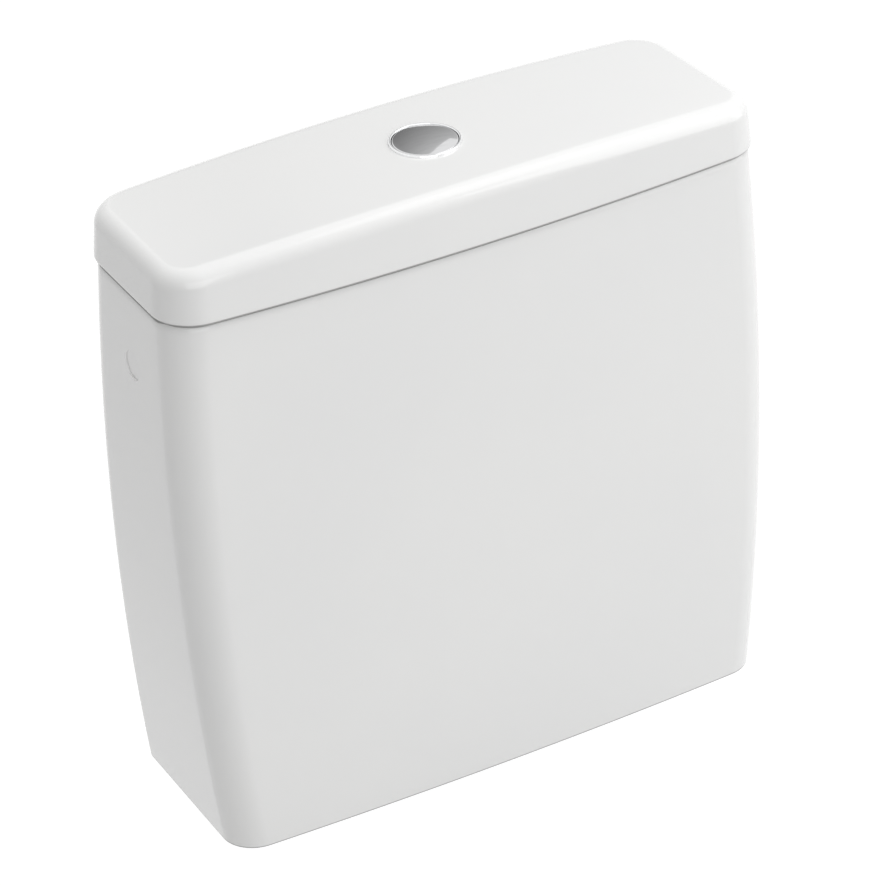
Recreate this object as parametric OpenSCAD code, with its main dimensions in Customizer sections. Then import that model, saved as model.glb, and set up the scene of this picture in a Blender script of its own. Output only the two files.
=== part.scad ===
// Close-coupled toilet cistern in vitreous china, with its lid, push button, flush valve, fill valve
// and coupling bolts.
// Millimetres. The origin is the flush outlet's axis on the base plane; -Y is the front, +Z is up.

/* [Tank] */
// Height from the base to the seam under the lid
tank_h = 350; // [330:1:420]
// Width across the back at the base
tank_base_w = 355; // [340:0.5:400]
// Width across the back at mid height
tank_mid_w = 381.4; // [360:0.2:420]
// Width across the back just under the lid
tank_top_w = 376; // [360:0.5:420]
// Depth at the front corners, at the base
tank_base_d = 123.4; // [118:0.1:150]
// Depth at the front corners, at mid height
tank_mid_d = 121.5; // [118:0.1:150]
// Depth at the front corners, just under the lid
tank_top_d = 116.5; // [114:0.1:150]
// How far the front bows out past its corners, at the base
bow_base = 4.7; // [1:0.1:12]
// How far the front bows out past its corners, under the lid
bow_top = 8.9; // [1:0.1:14]
// How much further out each side stands at the front than at the back
side_flare = 3.4; // [0:0.1:6]
// Radius of the front corners at the base
front_r_base = 20; // [14:0.5:30]
// Radius of the front corners under the lid
front_r_top = 22; // [14:0.5:30]
// Radius of the rear corners at the base
back_r_base = 5; // [3:0.5:20]
// Radius of the rear corners under the lid
back_r_top = 24.4; // [12:0.1:30]
// Thickness of the walls
wall = 10; // [8:0.5:13]
// Thickness of the floor
floor_t = 12; // [9:0.5:16]
// Height of the rounding at the rim's outer edge
rim_h = 5.5; // [3:0.5:7]
// How far the rim's outer edge leans in
rim_lean = 2.2; // [1:0.1:4]
// Radius of the rim's inner edge
rim_in_r = 2; // [1:0.5:2.5]
// Radius of the edge round the base
foot_r = 1.2; // [0.6:0.1:3]
// Radius of the cove between the walls and the floor
cove_r = 8; // [5:0.5:9]
// From the flush outlet's axis to the wall behind the tank
axis_to_back = 62; // [58:0.5:66]
// Diameter of the round inlet marks in the sides
mark_d = 18; // [14:0.5:24]
// Depth of the round inlet marks
mark_depth = 0.8; // [0.5:0.1:3]
// From the seam down to the middle of the inlet marks
mark_drop = 45; // [30:1:80]

/* [Lid] */
// How far the lid stands out past the tank
lid_overhang = 2; // [0.5:0.1:4]
// Height of the shadow gap between the lid's edge and the tank's rim
seam_gap = 1.2; // [0.5:0.1:2]
// Height of the lid at its ends
lid_h = 31.3; // [28:0.1:40]
// How much higher the lid is in the middle
lid_crown = 7.2; // [3:0.1:12]
// Radius along the lid's top edge
lid_edge_r = 10.4; // [4:0.1:13]
// How far the lid's sides lean in
lid_draft = 1.6; // [0.5:0.1:3]
// Thickness of the lid's top
lid_t = 9; // [7:0.5:10]
// How far the lid's lip reaches into the tank
lip_h = 8; // [5:0.5:12]
// Thickness of the lid's lip
lip_t = 8; // [6:0.5:12]
// Room between the lip and the tank's walls
lip_gap = 2.5; // [1.5:0.1:4]

/* [Push button] */
// Outer diameter of the chromed ring on the lid
ring_d = 41.8; // [41.4:0.1:46]
// Height of the chromed ring above its seat
ring_h = 1.8; // [1.2:0.1:3]
// Diameter of the bezel's sleeve through the lid
sleeve_d = 40.4; // [38:0.1:40.6]
// Wall of the bezel's sleeve
sleeve_wall = 0.8; // [0.6:0.1:2]
// How far the sleeve reaches below its seat
sleeve_len = 24; // [23:0.5:30]
// Thickness of the web across the sleeve's foot
web_t = 2.5; // [1.5:0.1:4]
// Thickness of the button's disc
disc_t = 2.2; // [1.5:0.1:3]
// How far the edge of the button's disc lies below the ring's top
disc_drop = 0.4; // [0:0.1:1.2]
// Height of the button's dome above its edge
dome_h = 1.2; // [0.4:0.1:2.5]
// Depth of the button's skirt below its disc
skirt_h = 6; // [3:0.1:8]
// Diameter of the button's stem
stem_d = 8.8; // [7:0.1:11]
// How far the button goes down
press_travel = 10; // [6:0.5:10]
// Height of the nut under the lid
bezel_nut_h = 8; // [5:0.5:9]
// Diameter of the nut under the lid
bezel_nut_d = 52; // [48:0.5:55]
// Wire diameter of the return spring
spring_wire = 1.2; // [0.8:0.1:1.4]
// Diameter of the return spring, to the middle of its wire
spring_d = 20; // [17:0.5:26]
// Turns of the return spring
spring_turns = 5.5; // [4:0.5:6]
// Diameter of the push rod
rod_d = 6; // [5:0.1:7]
// Diameter of the push rod's foot
rod_foot_d = 10; // [8:0.5:14]

/* [Flush valve] */
// Diameter of the outlet hole in the floor
outlet_hole_d = 64; // [62:0.5:66]
// Diameter of the threaded tail
tail_d = 59.6; // [58:0.1:60]
// Length of the threaded tail below the base
tail_len = 15; // [12:0.5:20]
// Diameter of the plain nose below the thread
nose_d = 55; // [53:0.1:56.5]
// Length of the plain nose
nose_len = 9; // [6:0.5:14]
// Bore of the tail
tail_bore = 49; // [46:0.5:50]
// Diameter of the flange on the floor
flange_d = 86; // [82:0.5:92]
// Thickness of the flange
flange_t = 4; // [3:0.1:6]
// Thickness of the sealing washers on the floor
gasket_t = 3; // [2:0.1:5]
// Height of the seat above the flange
seat_h = 3; // [2:0.1:5]
// Height of the back nut
backnut_h = 9; // [7:0.5:11]
// Diameter of the back nut without its lugs
backnut_d = 74; // [70:0.5:76]
// How far the back nut's lugs stand out
backnut_lug = 2; // [1:0.1:2.5]
// Largest diameter of the sponge ring under the tank
sponge_d = 90; // [86:0.5:100]
// How much narrower the sponge ring is at its foot
sponge_taper = 5; // [3:0.5:7]
// Outer diameter of the tower
tower_d = 62; // [60:0.1:66]
// Wall of the tower
tower_wall = 3; // [2:0.1:4]
// From the seam down to the top of the tower
tower_drop = 110; // [104:1:130]
// Height of the windows round the seat
window_h = 38; // [25:1:50]
// Width of the windows round the seat
window_w = 26; // [18:0.5:30]
// Width of the slots up the tower
slot_w = 14; // [8:0.5:18]
// Outer diameter of the overflow tube
tube_d = 32; // [28:0.1:34]
// Wall of the overflow tube
tube_wall = 2; // [1.5:0.1:3]
// Thickness of the flush seal
seal_t = 4; // [3:0.1:6]
// Diameter of the float on the overflow tube
tube_float_d = 52; // [46:0.5:54]
// Height of the float on the overflow tube
tube_float_h = 45; // [30:1:60]
// From the push rod to the rocker's pivot
rocker_in = 24; // [22:0.5:28]
// From the rocker's pivot to its lifting end
rocker_out = 20; // [18:0.5:26]
// Width of the rocker
rocker_w = 8; // [6:0.5:10]
// Diameter of the rocker's pivot pin
rocker_pin_d = 4; // [3:0.1:5]
// Thickness of the bracket's two cheeks
cheek_t = 3; // [2:0.1:5]

/* [Fill valve] */
// From the flush outlet's axis to the inlet
fill_x = 118; // [112:0.5:124]
// From the flush outlet's axis back to the inlet
fill_y = 6; // [0:0.5:10]
// Diameter of the inlet hole in the floor
inlet_hole_d = 19; // [18:0.1:22]
// Diameter of the inlet's thread
inlet_d = 16.66; // [14:0.01:17]
// Bore of the inlet
inlet_bore = 10; // [8:0.1:11]
// Length of the inlet below the base
inlet_len = 38; // [34:0.5:50]
// Height of the inlet's lock nut
locknut_h = 9; // [6:0.5:12]
// Width across the flats of the inlet's lock nut
locknut_af = 27; // [24:0.5:32]
// Diameter of the inlet's flange on the floor
inlet_flange_d = 34; // [30:0.5:40]
// Outer diameter of the quiet discharge tube
quiet_d = 26; // [23:0.5:28]
// Wall of the quiet discharge tube
quiet_wall = 2; // [1.5:0.1:2.5]
// From the base up to the mouth of the discharge tube
quiet_mouth = 45; // [30:1:70]
// From the seam down to the valve head
fill_drop = 160; // [150:1:180]
// Diameter of the valve head
head_d = 36; // [34:0.5:38]
// Height of the valve head
head_h = 32; // [24:0.5:38]
// Outer diameter of the float cup
float_d = 64; // [60:0.5:68]
// Height of the float cup
float_h = 60; // [40:1:70]
// Wall of the float cup
float_wall = 2; // [1.5:0.1:3]
// How far the float rises
float_travel = 10; // [6:0.5:12]
// Diameter of the float's rod
float_rod_d = 4; // [3:0.1:5]
// From the lever's pivot to the float's rod
lever_arm = 25; // [24:0.5:28]
// From the lever's pivot to its sealing nub
nub_arm = 10; // [8:0.5:12]
// Thickness of the float lever
lever_t = 4; // [3:0.1:5]
// Width of the float lever
lever_w = 8; // [6:0.5:9]

/* [Coupling bolts] */
// Distance between the two bolts
bolt_spacing = 150; // [145:1:160]
// Diameter of the bolts' thread
bolt_d = 8; // [6:0.1:8]
// Length of the thread below the base
bolt_len = 40; // [30:1:60]
// Diameter of the bolt holes in the floor
bolt_hole_d = 14; // [12:0.5:16]
// Diameter of the cone washers
cone_d = 26; // [22:0.5:30]
// Thickness of the cone washers above the floor
cone_t = 6; // [4:0.5:8]
// Thickness of the steel washers
washer_t = 1.6; // [1:0.1:3]
// Width across the flats of the bolt heads
bolt_af = 13; // [11:0.5:14]
// Height of the bolt heads
bolt_head_h = 5.3; // [3:0.1:7]

/* [Fits] */
// Radial room round pieces that slide or turn
slide_gap = 0.4; // [0.3:0.05:0.6]
// Radial room round pieces that are clipped or screwed together
fit_gap = 0.15; // [0.1:0.05:0.3]
// Room between two moving pieces that push on each other
push_gap = 0.3; // [0.2:0.05:0.5]

/* [Hidden] */
$fn = 72;
// Overshoot of cutting tools past the faces that they cut
cut = 1;
corner_steps = 7;
front_steps = 14;
wall_steps = 12;
edge_steps = 5;
small_steps = 2;
// Smallest radius of the corners inside the tank
inner_r = 8;

ceramic = [0.93, 0.93, 0.92];
chrome = [0.75, 0.76, 0.78];
white_plastic = [0.9, 0.9, 0.88];
grey_plastic = [0.62, 0.64, 0.66];
blue_plastic = [0.25, 0.42, 0.62];
rubber = [0.16, 0.16, 0.17];
sponge = [0.22, 0.22, 0.23];
steel = [0.68, 0.69, 0.7];
brass = [0.78, 0.64, 0.34];

// Heights on the flush valve's axis
flange_z = floor_t + gasket_t;
flange_top = flange_z + flange_t;
seat_z = flange_top + seat_h;
carrier_t = 4;
carrier_z = seat_z + seal_t;
clamp_h = 4;
tower_top = tank_h - tower_drop;
top_plate_t = 4;
seat_lip = 2;
tower_r = tower_d / 2;
tower_in = tower_r - tower_wall;
collar_h = 4;
collar_t = 3;
lugs = 3;
lug_w = 12;
tube_r = tube_d / 2;
yoke_seat = tower_top + 3;
yoke_t = 5;
yoke_r = tube_r + fit_gap + 2.2;
tube_top = yoke_seat + yoke_t + 4;
pivot_z = tower_top + 35;
pivot_x = rocker_in;
boss_r = 6;
pad_r = 5;
lift_r = 4;
pad_z = pivot_z + press_travel / 2;
lift_travel = press_travel * rocker_out / rocker_in;
lift_z = pivot_z - lift_travel / 2;
rock_tilt = atan(press_travel / 2 / rocker_in);
lift_x = rocker_in + rocker_out;
post_gap = 1.5;
post_t = 4;
post_x = lift_x + lift_r + post_gap;
hook_z = lift_z + lift_r + push_gap;
cheek_y = rocker_w / 2 + 2.5;
bracket_foot_t = 2.2;
tube_float_drop = 110;
tube_float_z = tower_top - tube_float_drop;

// Heights of the lid and its button
seam = tank_h;
lid_half = tank_top_w / 2 + lid_overhang;
rest_in = rim_lean + 1;
lip_out = wall + lip_gap;
lip_in = lip_out + lip_t;
lid_cove = 8;
ceiling = seam + lid_h - lid_t;
seat_cut = 0.3;
ring_seat = seam + lid_h + lid_crown - seat_cut;
nut_seat = ceiling + lid_crown + seat_cut;
ring_top = ring_seat + ring_h;
sleeve_r = sleeve_d / 2;
sleeve_in = sleeve_r - sleeve_wall;
sleeve_foot = ring_seat - sleeve_len;
web_top = sleeve_foot + web_t;
cap_gap = 0.3;
cap_r = sleeve_in - cap_gap;
disc_top = ring_top - disc_drop;
disc_under = disc_top - disc_t;
skirt_t = 1.4;
stem_r = stem_d / 2;
groove_depth = 0.6;
retainer_t = 1.8;
retainer_d = 16;
retainer_top = sleeve_foot - push_gap;
socket_top = retainer_top - retainer_t - 2;
socket_depth = 10;
socket_wall = 2;
stem_foot = socket_top - socket_depth;
rod_foot = pad_z + pad_r + push_gap;
rod_foot_h = 3;
bezel_nut_lug = 2.5;
spring_gap = 0.1;
spring_sides = 6;
rings_per_turn = 8;
spring_low = web_top + spring_wire / 2 + spring_gap;
spring_high = disc_under - spring_wire / 2 - spring_gap;

// Heights on the fill valve's axis
inlet_flange_z = floor_t + gasket_t;
inlet_flange_t = 4;
under_washer_t = 2;
relief_w = 2;
relief_depth = 0.9;
relief_z = -under_washer_t - locknut_h - relief_w - 1.5;
strainer_t = 1.5;
strainer_h = 16;
head_z = tank_h - fill_drop;
column_d = inlet_d + 0.4;
column_socket = 8;
diaphragm_t = 2;
diaphragm_z = head_z + head_h;
fill_cap_z = diaphragm_z + diaphragm_t;
fill_cap_h = 12;
fill_cap_top = fill_cap_z + fill_cap_h;
float_room = 10;
float_top = head_z - float_travel - float_room;
float_foot = float_top - float_h;
float_in = quiet_d / 2 + slide_gap;
stop_t = 5;
lever_pin_d = 3;
lever_rise = 10;
lever_z = fill_cap_top + lever_rise;
lever_x = fill_x - 2;
rod_x = lever_x - lever_arm;
lever_tilt = atan(float_travel / 2 / lever_arm);
lever_boss_r = 4;
fork_half = 6;
thumb_r = 4.5;
thumb_t = 3;
thumb_room = lever_t / 2 / cos(lever_tilt) + thumb_r * tan(lever_tilt) + push_gap;
rod_eye_z = lever_z - float_travel / 2;
rod_lug_r = 4.5;
rod_lug_h = 8;
ear_t = 3;
ear_y = lever_w / 2 + 1;
pilot_top = fill_cap_top + 2;
nub_drop = nub_arm * tan(lever_tilt);

// Coupling bolts
shank_r = bolt_d / 2 - 0.4;
cone_depth = 7;
cone_clear = 0.3;
cone_top = floor_t + cone_t;
washer_d = cone_d - 4;

// Value at height share t of a parabola through its values at the base, the middle and the top
function through(t, base, mid, top) =
    base * (1 - t) * (1 - 2 * t) + mid * 4 * t * (1 - t) + top * t * (2 * t - 1);
function half_w(z) = through(z / tank_h, tank_base_w, tank_mid_w, tank_top_w) / 2;
function corner_depth(z) = through(z / tank_h, tank_base_d, tank_mid_d, tank_top_d);
function rising(z, base, top) = base + (top - base) * z / tank_h;

function corner(x, y, r, start) = [
    for (i = [0:corner_steps]) let (a = start + 90 * i / corner_steps) [x + r * cos(a), y + r * sin(a)]
];

// Plan outline at height z, moved in by inset: round corners, a bowed front and flared sides
function outline(z, inset) =
    let (
        w = half_w(z) - inset,
        back = axis_to_back - inset,
        front = axis_to_back - corner_depth(z) + inset,
        rf = max(rising(z, front_r_base, front_r_top) - inset, inset > 0 ? inner_r : 1),
        rb = max(rising(z, back_r_base, back_r_top) - inset, inset > foot_r ? inner_r : 1),
        bow = rising(z, bow_base, bow_top),
        flat = concat(
            corner(-w + rf, front + rf, rf, 180),
            [for (i = [1:front_steps - 1]) [(w - rf) * (2 * i / front_steps - 1), front]],
            corner(w - rf, front + rf, rf, 270),
            corner(w - rb, back - rb, rb, 0),
            corner(-w + rb, back - rb, rb, 90)
        )
    )
    [for (p = flat)
        let (forward = (back - p.y) / (back - front), side = p.x / w)
        [p.x + side * side_flare * forward, p.y - bow * (1 - side * side) * forward]
    ];

// Half width of the tank's outside at height z, level with the flush outlet's axis
function side_x(z) = half_w(z) + side_flare * axis_to_back / corner_depth(z);

// Ring of points at height z, with the tank's outline at height shape_z
function ring(shape_z, inset, z) = [for (p = outline(shape_z, inset)) [p.x, p.y, z]];
function wall_ring(inset, z) = ring(z, inset, z);

function crown(x) = lid_crown * (1 - pow(x / lid_half, 2));
function lid_ring(inset, z) = ring(seam, inset, z);
// Ring of the lid that follows its crown, drawn in to a share of its outline round the button's axis
function crown_ring(inset, z, share = 1) = [
    for (p = outline(seam, inset)) [p.x * share, p.y * share, z + crown(p.x * share)]
];

cove_top = floor_t + cove_r;
tank_rings = concat(
    [for (i = [0:small_steps - 1]) let (a = 90 * i / small_steps)
        ring(0, foot_r * (1 - sin(a)), foot_r * (1 - cos(a)))],
    [for (i = [0:wall_steps]) wall_ring(0, foot_r + (tank_h - rim_h - foot_r) * i / wall_steps)],
    [for (i = [1:edge_steps]) let (a = 90 * i / edge_steps)
        wall_ring(rim_lean * (1 - cos(a)), tank_h - rim_h * (1 - sin(a)))],
    [for (i = [0:small_steps - 1]) let (a = 90 * i / small_steps)
        wall_ring(wall - rim_in_r * (1 - sin(a)), tank_h - rim_in_r * (1 - cos(a)))],
    [for (i = [wall_steps:-1:0]) wall_ring(wall, cove_top + (tank_h - rim_in_r - cove_top) * i / wall_steps)],
    [for (i = [1:edge_steps]) let (a = 90 * i / edge_steps)
        wall_ring(wall + cove_r * (1 - cos(a)), cove_top - cove_r * sin(a))]
);

// Share of the lid's outline that closes its two skins inside the button's hole
hub_share = 0.05;
lid_side = lid_draft - lid_overhang;
lid_foot_in = 1.5;
lid_foot_h = 2.5;
lid_rings = concat(
    [[for (p = outline(seam, lip_in)) [p.x * hub_share, p.y * hub_share, ceiling + lid_crown]]],
    [for (share = [0.35, 0.7, 1]) crown_ring(lip_in + lid_cove, ceiling, share)],
    [for (i = [1:edge_steps]) let (a = 90 * i / edge_steps)
        crown_ring(lip_in + lid_cove * (1 - sin(a)), ceiling - lid_cove * (1 - cos(a)))],
    [lid_ring(lip_in, seam - lip_h), lid_ring(lip_out, seam - lip_h), lid_ring(lip_out, seam)],
    [lid_ring(rest_in, seam), lid_ring(rest_in, seam + seam_gap)],
    [for (i = [0:small_steps]) let (a = 90 * i / small_steps)
        lid_ring(lid_foot_in * (1 - sin(a)) - lid_overhang, seam + seam_gap + lid_foot_h * (1 - cos(a)))],
    [for (i = [0:edge_steps]) let (a = 90 * i / edge_steps)
        crown_ring(lid_side + lid_edge_r * (1 - cos(a)), seam + lid_h - lid_edge_r * (1 - sin(a)))],
    [for (share = [0.85, 0.65, 0.4, 0.2]) crown_ring(lid_side + lid_edge_r, seam + lid_h, share)],
    [[for (p = outline(seam, lip_in)) [p.x * hub_share, p.y * hub_share, seam + lid_h + lid_crown]]]
);

// Closed skin over a row of rings with equally many points; its first and last rings are capped
module skin(rings) {
    n = len(rings[0]);
    last = len(rings) - 1;
    polyhedron(
        points = [for (r = rings) each r],
        faces = concat(
            [[for (i = [0:n - 1]) i]],
            [for (j = [0:last - 1], i = [0:n - 1])
                let (low = j * n, high = low + n, k = (i + 1) % n)
                each [[low + i, high + i, high + k], [low + i, high + k, low + k]]],
            [[for (i = [n - 1:-1:0]) last * n + i]]
        )
    );
}

module disc(r, bottom, top) {
    translate([0, 0, bottom]) cylinder(r = r, h = top - bottom);
}

module pipe(r_out, r_in, bottom, top) {
    difference() {
        disc(r_out, bottom, top);
        disc(r_in, bottom - cut, top + cut);
    }
}

module hexagon(across_flats, bottom, top) {
    translate([0, 0, bottom]) cylinder(d = across_flats / cos(30), h = top - bottom, $fn = 6);
}

// Plate with an outline in X and Z, between two places along Y
module upright(y_from, y_to) {
    translate([0, y_to, 0]) rotate([90, 0, 0]) linear_extrude(y_to - y_from) children();
}

module at_fill_valve() {
    translate([fill_x, fill_y, 0]) children();
}

module tank() {
    mark_z = seam - mark_drop;
    color(ceramic) difference() {
        skin(tank_rings);
        disc(outlet_hole_d / 2, -cut, flange_z);
        for (side = [-1, 1])
            translate([side * bolt_spacing / 2, 0, 0]) disc(bolt_hole_d / 2, -cut, flange_z);
        at_fill_valve() disc(inlet_hole_d / 2, -cut, flange_z);
        for (side = [-1, 1])
            translate([side * (side_x(mark_z) - mark_depth), 0, mark_z])
                rotate([0, side * 90, 0]) cylinder(d = mark_d, h = mark_depth + cut);
    }
}

module lid() {
    color(ceramic) difference() {
        skin(lid_rings);
        disc(sleeve_r + fit_gap, seam, ring_top + lid_crown);
        disc(ring_d / 2 + slide_gap, ring_seat, ring_top + lid_crown);
        disc(bezel_nut_d / 2 + bezel_nut_lug + slide_gap, seam, nut_seat);
    }
}

module button_bezel() {
    ring_r = ring_d / 2;
    edge = ring_h * 0.45;
    color(chrome) rotate_extrude() difference() {
        union() {
            translate([0, ring_seat]) square([ring_r, ring_h - edge]);
            translate([0, ring_seat]) square([ring_r - edge, ring_h]);
            translate([ring_r - edge, ring_top - edge]) circle(edge);
            translate([0, sleeve_foot]) square([sleeve_r, sleeve_len]);
        }
        translate([0, web_top]) square([sleeve_in, sleeve_len + ring_h]);
        translate([0, sleeve_foot - cut]) square([stem_r + slide_gap, sleeve_len]);
        translate([-ring_d, sleeve_foot - cut]) square([ring_d, sleeve_len + ring_h + 2 * cut]);
    }
}

module bezel_nut() {
    grips = 12;
    color(white_plastic) difference() {
        union() {
            disc(bezel_nut_d / 2, nut_seat - bezel_nut_h, nut_seat);
            for (i = [0:grips - 1]) rotate(360 * i / grips)
                translate([bezel_nut_d / 2 - 1, -2, nut_seat - bezel_nut_h])
                    cube([1 + bezel_nut_lug, 4, bezel_nut_h - 2]);
        }
        disc(sleeve_r + fit_gap, nut_seat - bezel_nut_h - cut, nut_seat + cut);
    }
}

module button_cap() {
    edge = 0.8;
    dome_steps = 8;
    dome_rim = cap_r - edge;
    color(chrome) rotate_extrude() difference() {
        union() {
            polygon(concat(
                [[0, disc_under], [cap_r, disc_under]],
                [for (i = [0:edge_steps]) let (a = 90 * i / edge_steps)
                    [cap_r - edge * (1 - cos(a)), disc_top - edge * (1 - sin(a))]],
                [for (i = [dome_steps - 1:-1:0]) let (share = i / dome_steps)
                    [dome_rim * share, disc_top + dome_h * (1 - share * share)]]
            ));
            translate([cap_r - skirt_t, disc_under - skirt_h]) square([skirt_t, skirt_h + disc_t / 2]);
            translate([0, stem_foot]) square([stem_r, disc_under - stem_foot + disc_t / 2]);
        }
        translate([stem_r - groove_depth, retainer_top - retainer_t]) square([stem_r, retainer_t]);
    }
}

module button_retainer() {
    slot = stem_d - 2 * groove_depth - 1;
    color(steel) difference() {
        pipe(retainer_d / 2, stem_r - groove_depth, retainer_top - retainer_t, retainer_top);
        translate([0, -slot / 2, retainer_top - retainer_t - cut])
            cube([retainer_d, slot, retainer_t + 2 * cut]);
    }
}

// Centre line of the return spring at ring k
function spring_centre(k) = let (a = 360 * k / rings_per_turn)
    [spring_d / 2 * cos(a), spring_d / 2 * sin(a), spring_low + (spring_high - spring_low) * k / spring_last];
function spring_ring(k) = let (a = 360 * k / rings_per_turn, c = spring_centre(k))
    [for (i = [0:spring_sides - 1]) let (b = 360 * i / spring_sides, out = spring_wire / 2 * cos(b))
        [c.x + out * cos(a), c.y + out * sin(a), c.z - spring_wire / 2 * sin(b)]];
spring_last = round(spring_turns * rings_per_turn);
spring_rings = [for (k = [0:spring_last]) spring_ring(k)];
spring_self_gap = min([for (k = [0:spring_last], m = [k + rings_per_turn / 2:1:spring_last])
    for (p = spring_rings[k], q = spring_rings[m]) norm(p - q)]);
echo(str("button_spring: least gap to itself ", spring_self_gap, " mm"));

module button_spring() {
    color(steel) skin(spring_rings);
}

module push_rod() {
    socket_r = stem_r + fit_gap + socket_wall;
    rib_t = 2;
    rib_h = 14;
    rib_foot = stem_foot - rib_h;
    color(white_plastic) difference() {
        union() {
            disc(socket_r, stem_foot - socket_wall, socket_top);
            disc(rod_d / 2, rod_foot, stem_foot);
            disc(rod_foot_d / 2, rod_foot, rod_foot + rod_foot_h);
            for (turn = [0, 90]) rotate(turn)
                translate([0, rib_t / 2, 0]) upright(-rib_t, 0) polygon([
                    [-rod_d / 2, rib_foot], [rod_d / 2, rib_foot],
                    [socket_r, stem_foot], [-socket_r, stem_foot]
                ]);
        }
        disc(stem_r + fit_gap, stem_foot, socket_top + cut);
    }
}

module valve_base() {
    seat_r = tail_bore / 2 + seat_lip;
    color(white_plastic) difference() {
        union() {
            disc(flange_d / 2, flange_z, flange_top);
            disc(tail_d / 2, -tail_len, flange_z);
            disc(nose_d / 2, -tail_len - nose_len, -tail_len);
            disc(seat_r, flange_top, seat_z);
            pipe(tower_r + fit_gap + collar_t, tower_r + fit_gap, flange_top - 1, flange_top + collar_h);
        }
        disc(tail_bore / 2, -tail_len - nose_len - cut, seat_z + cut);
        for (i = [0:lugs - 1]) rotate(360 * (i + 0.5) / lugs)
            translate([tower_in, -lug_w / 2 - 1, flange_top])
                cube([tower_wall + 2 * collar_t, lug_w + 2, collar_h + cut]);
    }
}

module base_gasket() {
    color(rubber) pipe(flange_d / 2 - 1, tail_d / 2 + fit_gap, floor_t, flange_z);
}

module valve_backnut() {
    grips = 8;
    color(white_plastic) difference() {
        union() {
            disc(backnut_d / 2, -backnut_h, 0);
            for (i = [0:grips - 1]) rotate(360 * i / grips)
                translate([backnut_d / 2 - 2, -3, -backnut_h]) cube([2 + backnut_lug, 6, backnut_h - 2]);
        }
        disc(tail_d / 2 + fit_gap, -backnut_h - cut, cut);
    }
}

module sponge_ring() {
    pocket_r = backnut_d / 2 + backnut_lug + slide_gap;
    edge = 3;
    rim = sponge_d / 2;
    foot = rim - sponge_taper / 2;
    color(sponge) rotate_extrude() difference() {
        polygon([
            [tail_d / 2 + slide_gap, -tail_len], [foot - edge, -tail_len], [foot, edge - tail_len],
            [rim, -edge], [rim - edge, 0], [tail_d / 2 + slide_gap, 0]
        ]);
        translate([0, -backnut_h]) square([pocket_r, backnut_h + cut]);
    }
}

module valve_tower() {
    slot_low = flange_top + window_h + 30;
    slot_high = tower_top - 30;
    color(white_plastic) difference() {
        union() {
            pipe(tower_r, tower_in, flange_top, tower_top);
            pipe(tower_in + cut / 2, tube_r + slide_gap, tower_top - top_plate_t, tower_top);
            for (i = [0:lugs - 1]) rotate(360 * (i + 0.5) / lugs)
                translate([tower_r - tower_wall / 2, -lug_w / 2, flange_top])
                    cube([tower_wall / 2 + collar_t, lug_w, collar_h - 1]);
        }
        for (turn = [45, 135]) rotate(turn)
            translate([-tower_d, -window_w / 2, flange_top + collar_h + 1])
                cube([2 * tower_d, window_w, window_h]);
        for (turn = [0, 90]) rotate(turn)
            translate([-tower_d, -slot_w / 2, slot_low]) cube([2 * tower_d, slot_w, slot_high - slot_low]);
    }
}

module valve_bracket() {
    foot_in = yoke_r + 3;
    // The cheeks stand clear of the yoke's collar, and may lean over it above its highest place
    cheek_x = sqrt(pow(yoke_r, 2) - pow(cheek_y, 2)) + 2 * slide_gap;
    yoke_high = yoke_seat + yoke_t + lift_travel + 1;
    color(white_plastic) {
        pipe(tower_r - 0.5, foot_in, tower_top, tower_top + bracket_foot_t);
        for (side = [-1, 1])
            upright(side > 0 ? cheek_y : -cheek_y - cheek_t, side > 0 ? cheek_y + cheek_t : -cheek_y)
                difference() {
                    union() {
                        polygon([
                            [cheek_x, tower_top], [tower_r - 2, tower_top], [pivot_x + boss_r, pivot_z],
                            [pivot_x - boss_r, pivot_z], [cheek_x, yoke_high]
                        ]);
                        translate([pivot_x, pivot_z]) circle(boss_r);
                    }
                    translate([pivot_x, pivot_z]) circle(rocker_pin_d / 2 + fit_gap);
                }
    }
}

module rocker() {
    reach_in = norm([rocker_in, press_travel / 2]);
    reach_out = norm([rocker_out, lift_travel / 2]);
    hub_half = cheek_y - push_gap;
    end_half = 2.8;
    mid_half = 4;
    color(blue_plastic) difference() {
        union() {
            upright(-rocker_w / 2, rocker_w / 2) {
                translate([0, pad_z]) circle(pad_r);
                translate([lift_x, lift_z]) circle(lift_r);
                translate([pivot_x, pivot_z]) rotate(-rock_tilt)
                    polygon([[-reach_in, -end_half], [0, -mid_half], [reach_out, -end_half],
                        [reach_out, end_half], [0, mid_half], [-reach_in, end_half]]);
            }
            upright(-hub_half, hub_half) translate([pivot_x, pivot_z]) circle(boss_r);
        }
        upright(-hub_half - cut, hub_half + cut)
            translate([pivot_x, pivot_z]) circle(rocker_pin_d / 2 + slide_gap);
    }
}

module rocker_pin() {
    half = cheek_y + cheek_t + 1;
    color(steel) upright(-half, half) translate([pivot_x, pivot_z]) circle(rocker_pin_d / 2);
}

module lift_tube() {
    tube_foot = seat_z - clamp_h;
    shoulder = 1.5;
    color(grey_plastic) difference() {
        union() {
            disc(tube_r, tube_foot, tube_top);
            disc(tower_in - 1, carrier_z, carrier_z + carrier_t);
            disc(tube_r + shoulder, yoke_seat - 2, yoke_seat);
            disc(tube_r + shoulder, tube_float_z - 2, tube_float_z);
        }
        disc(tube_r - tube_wall, tube_foot - cut, tube_top + cut);
    }
}

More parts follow.
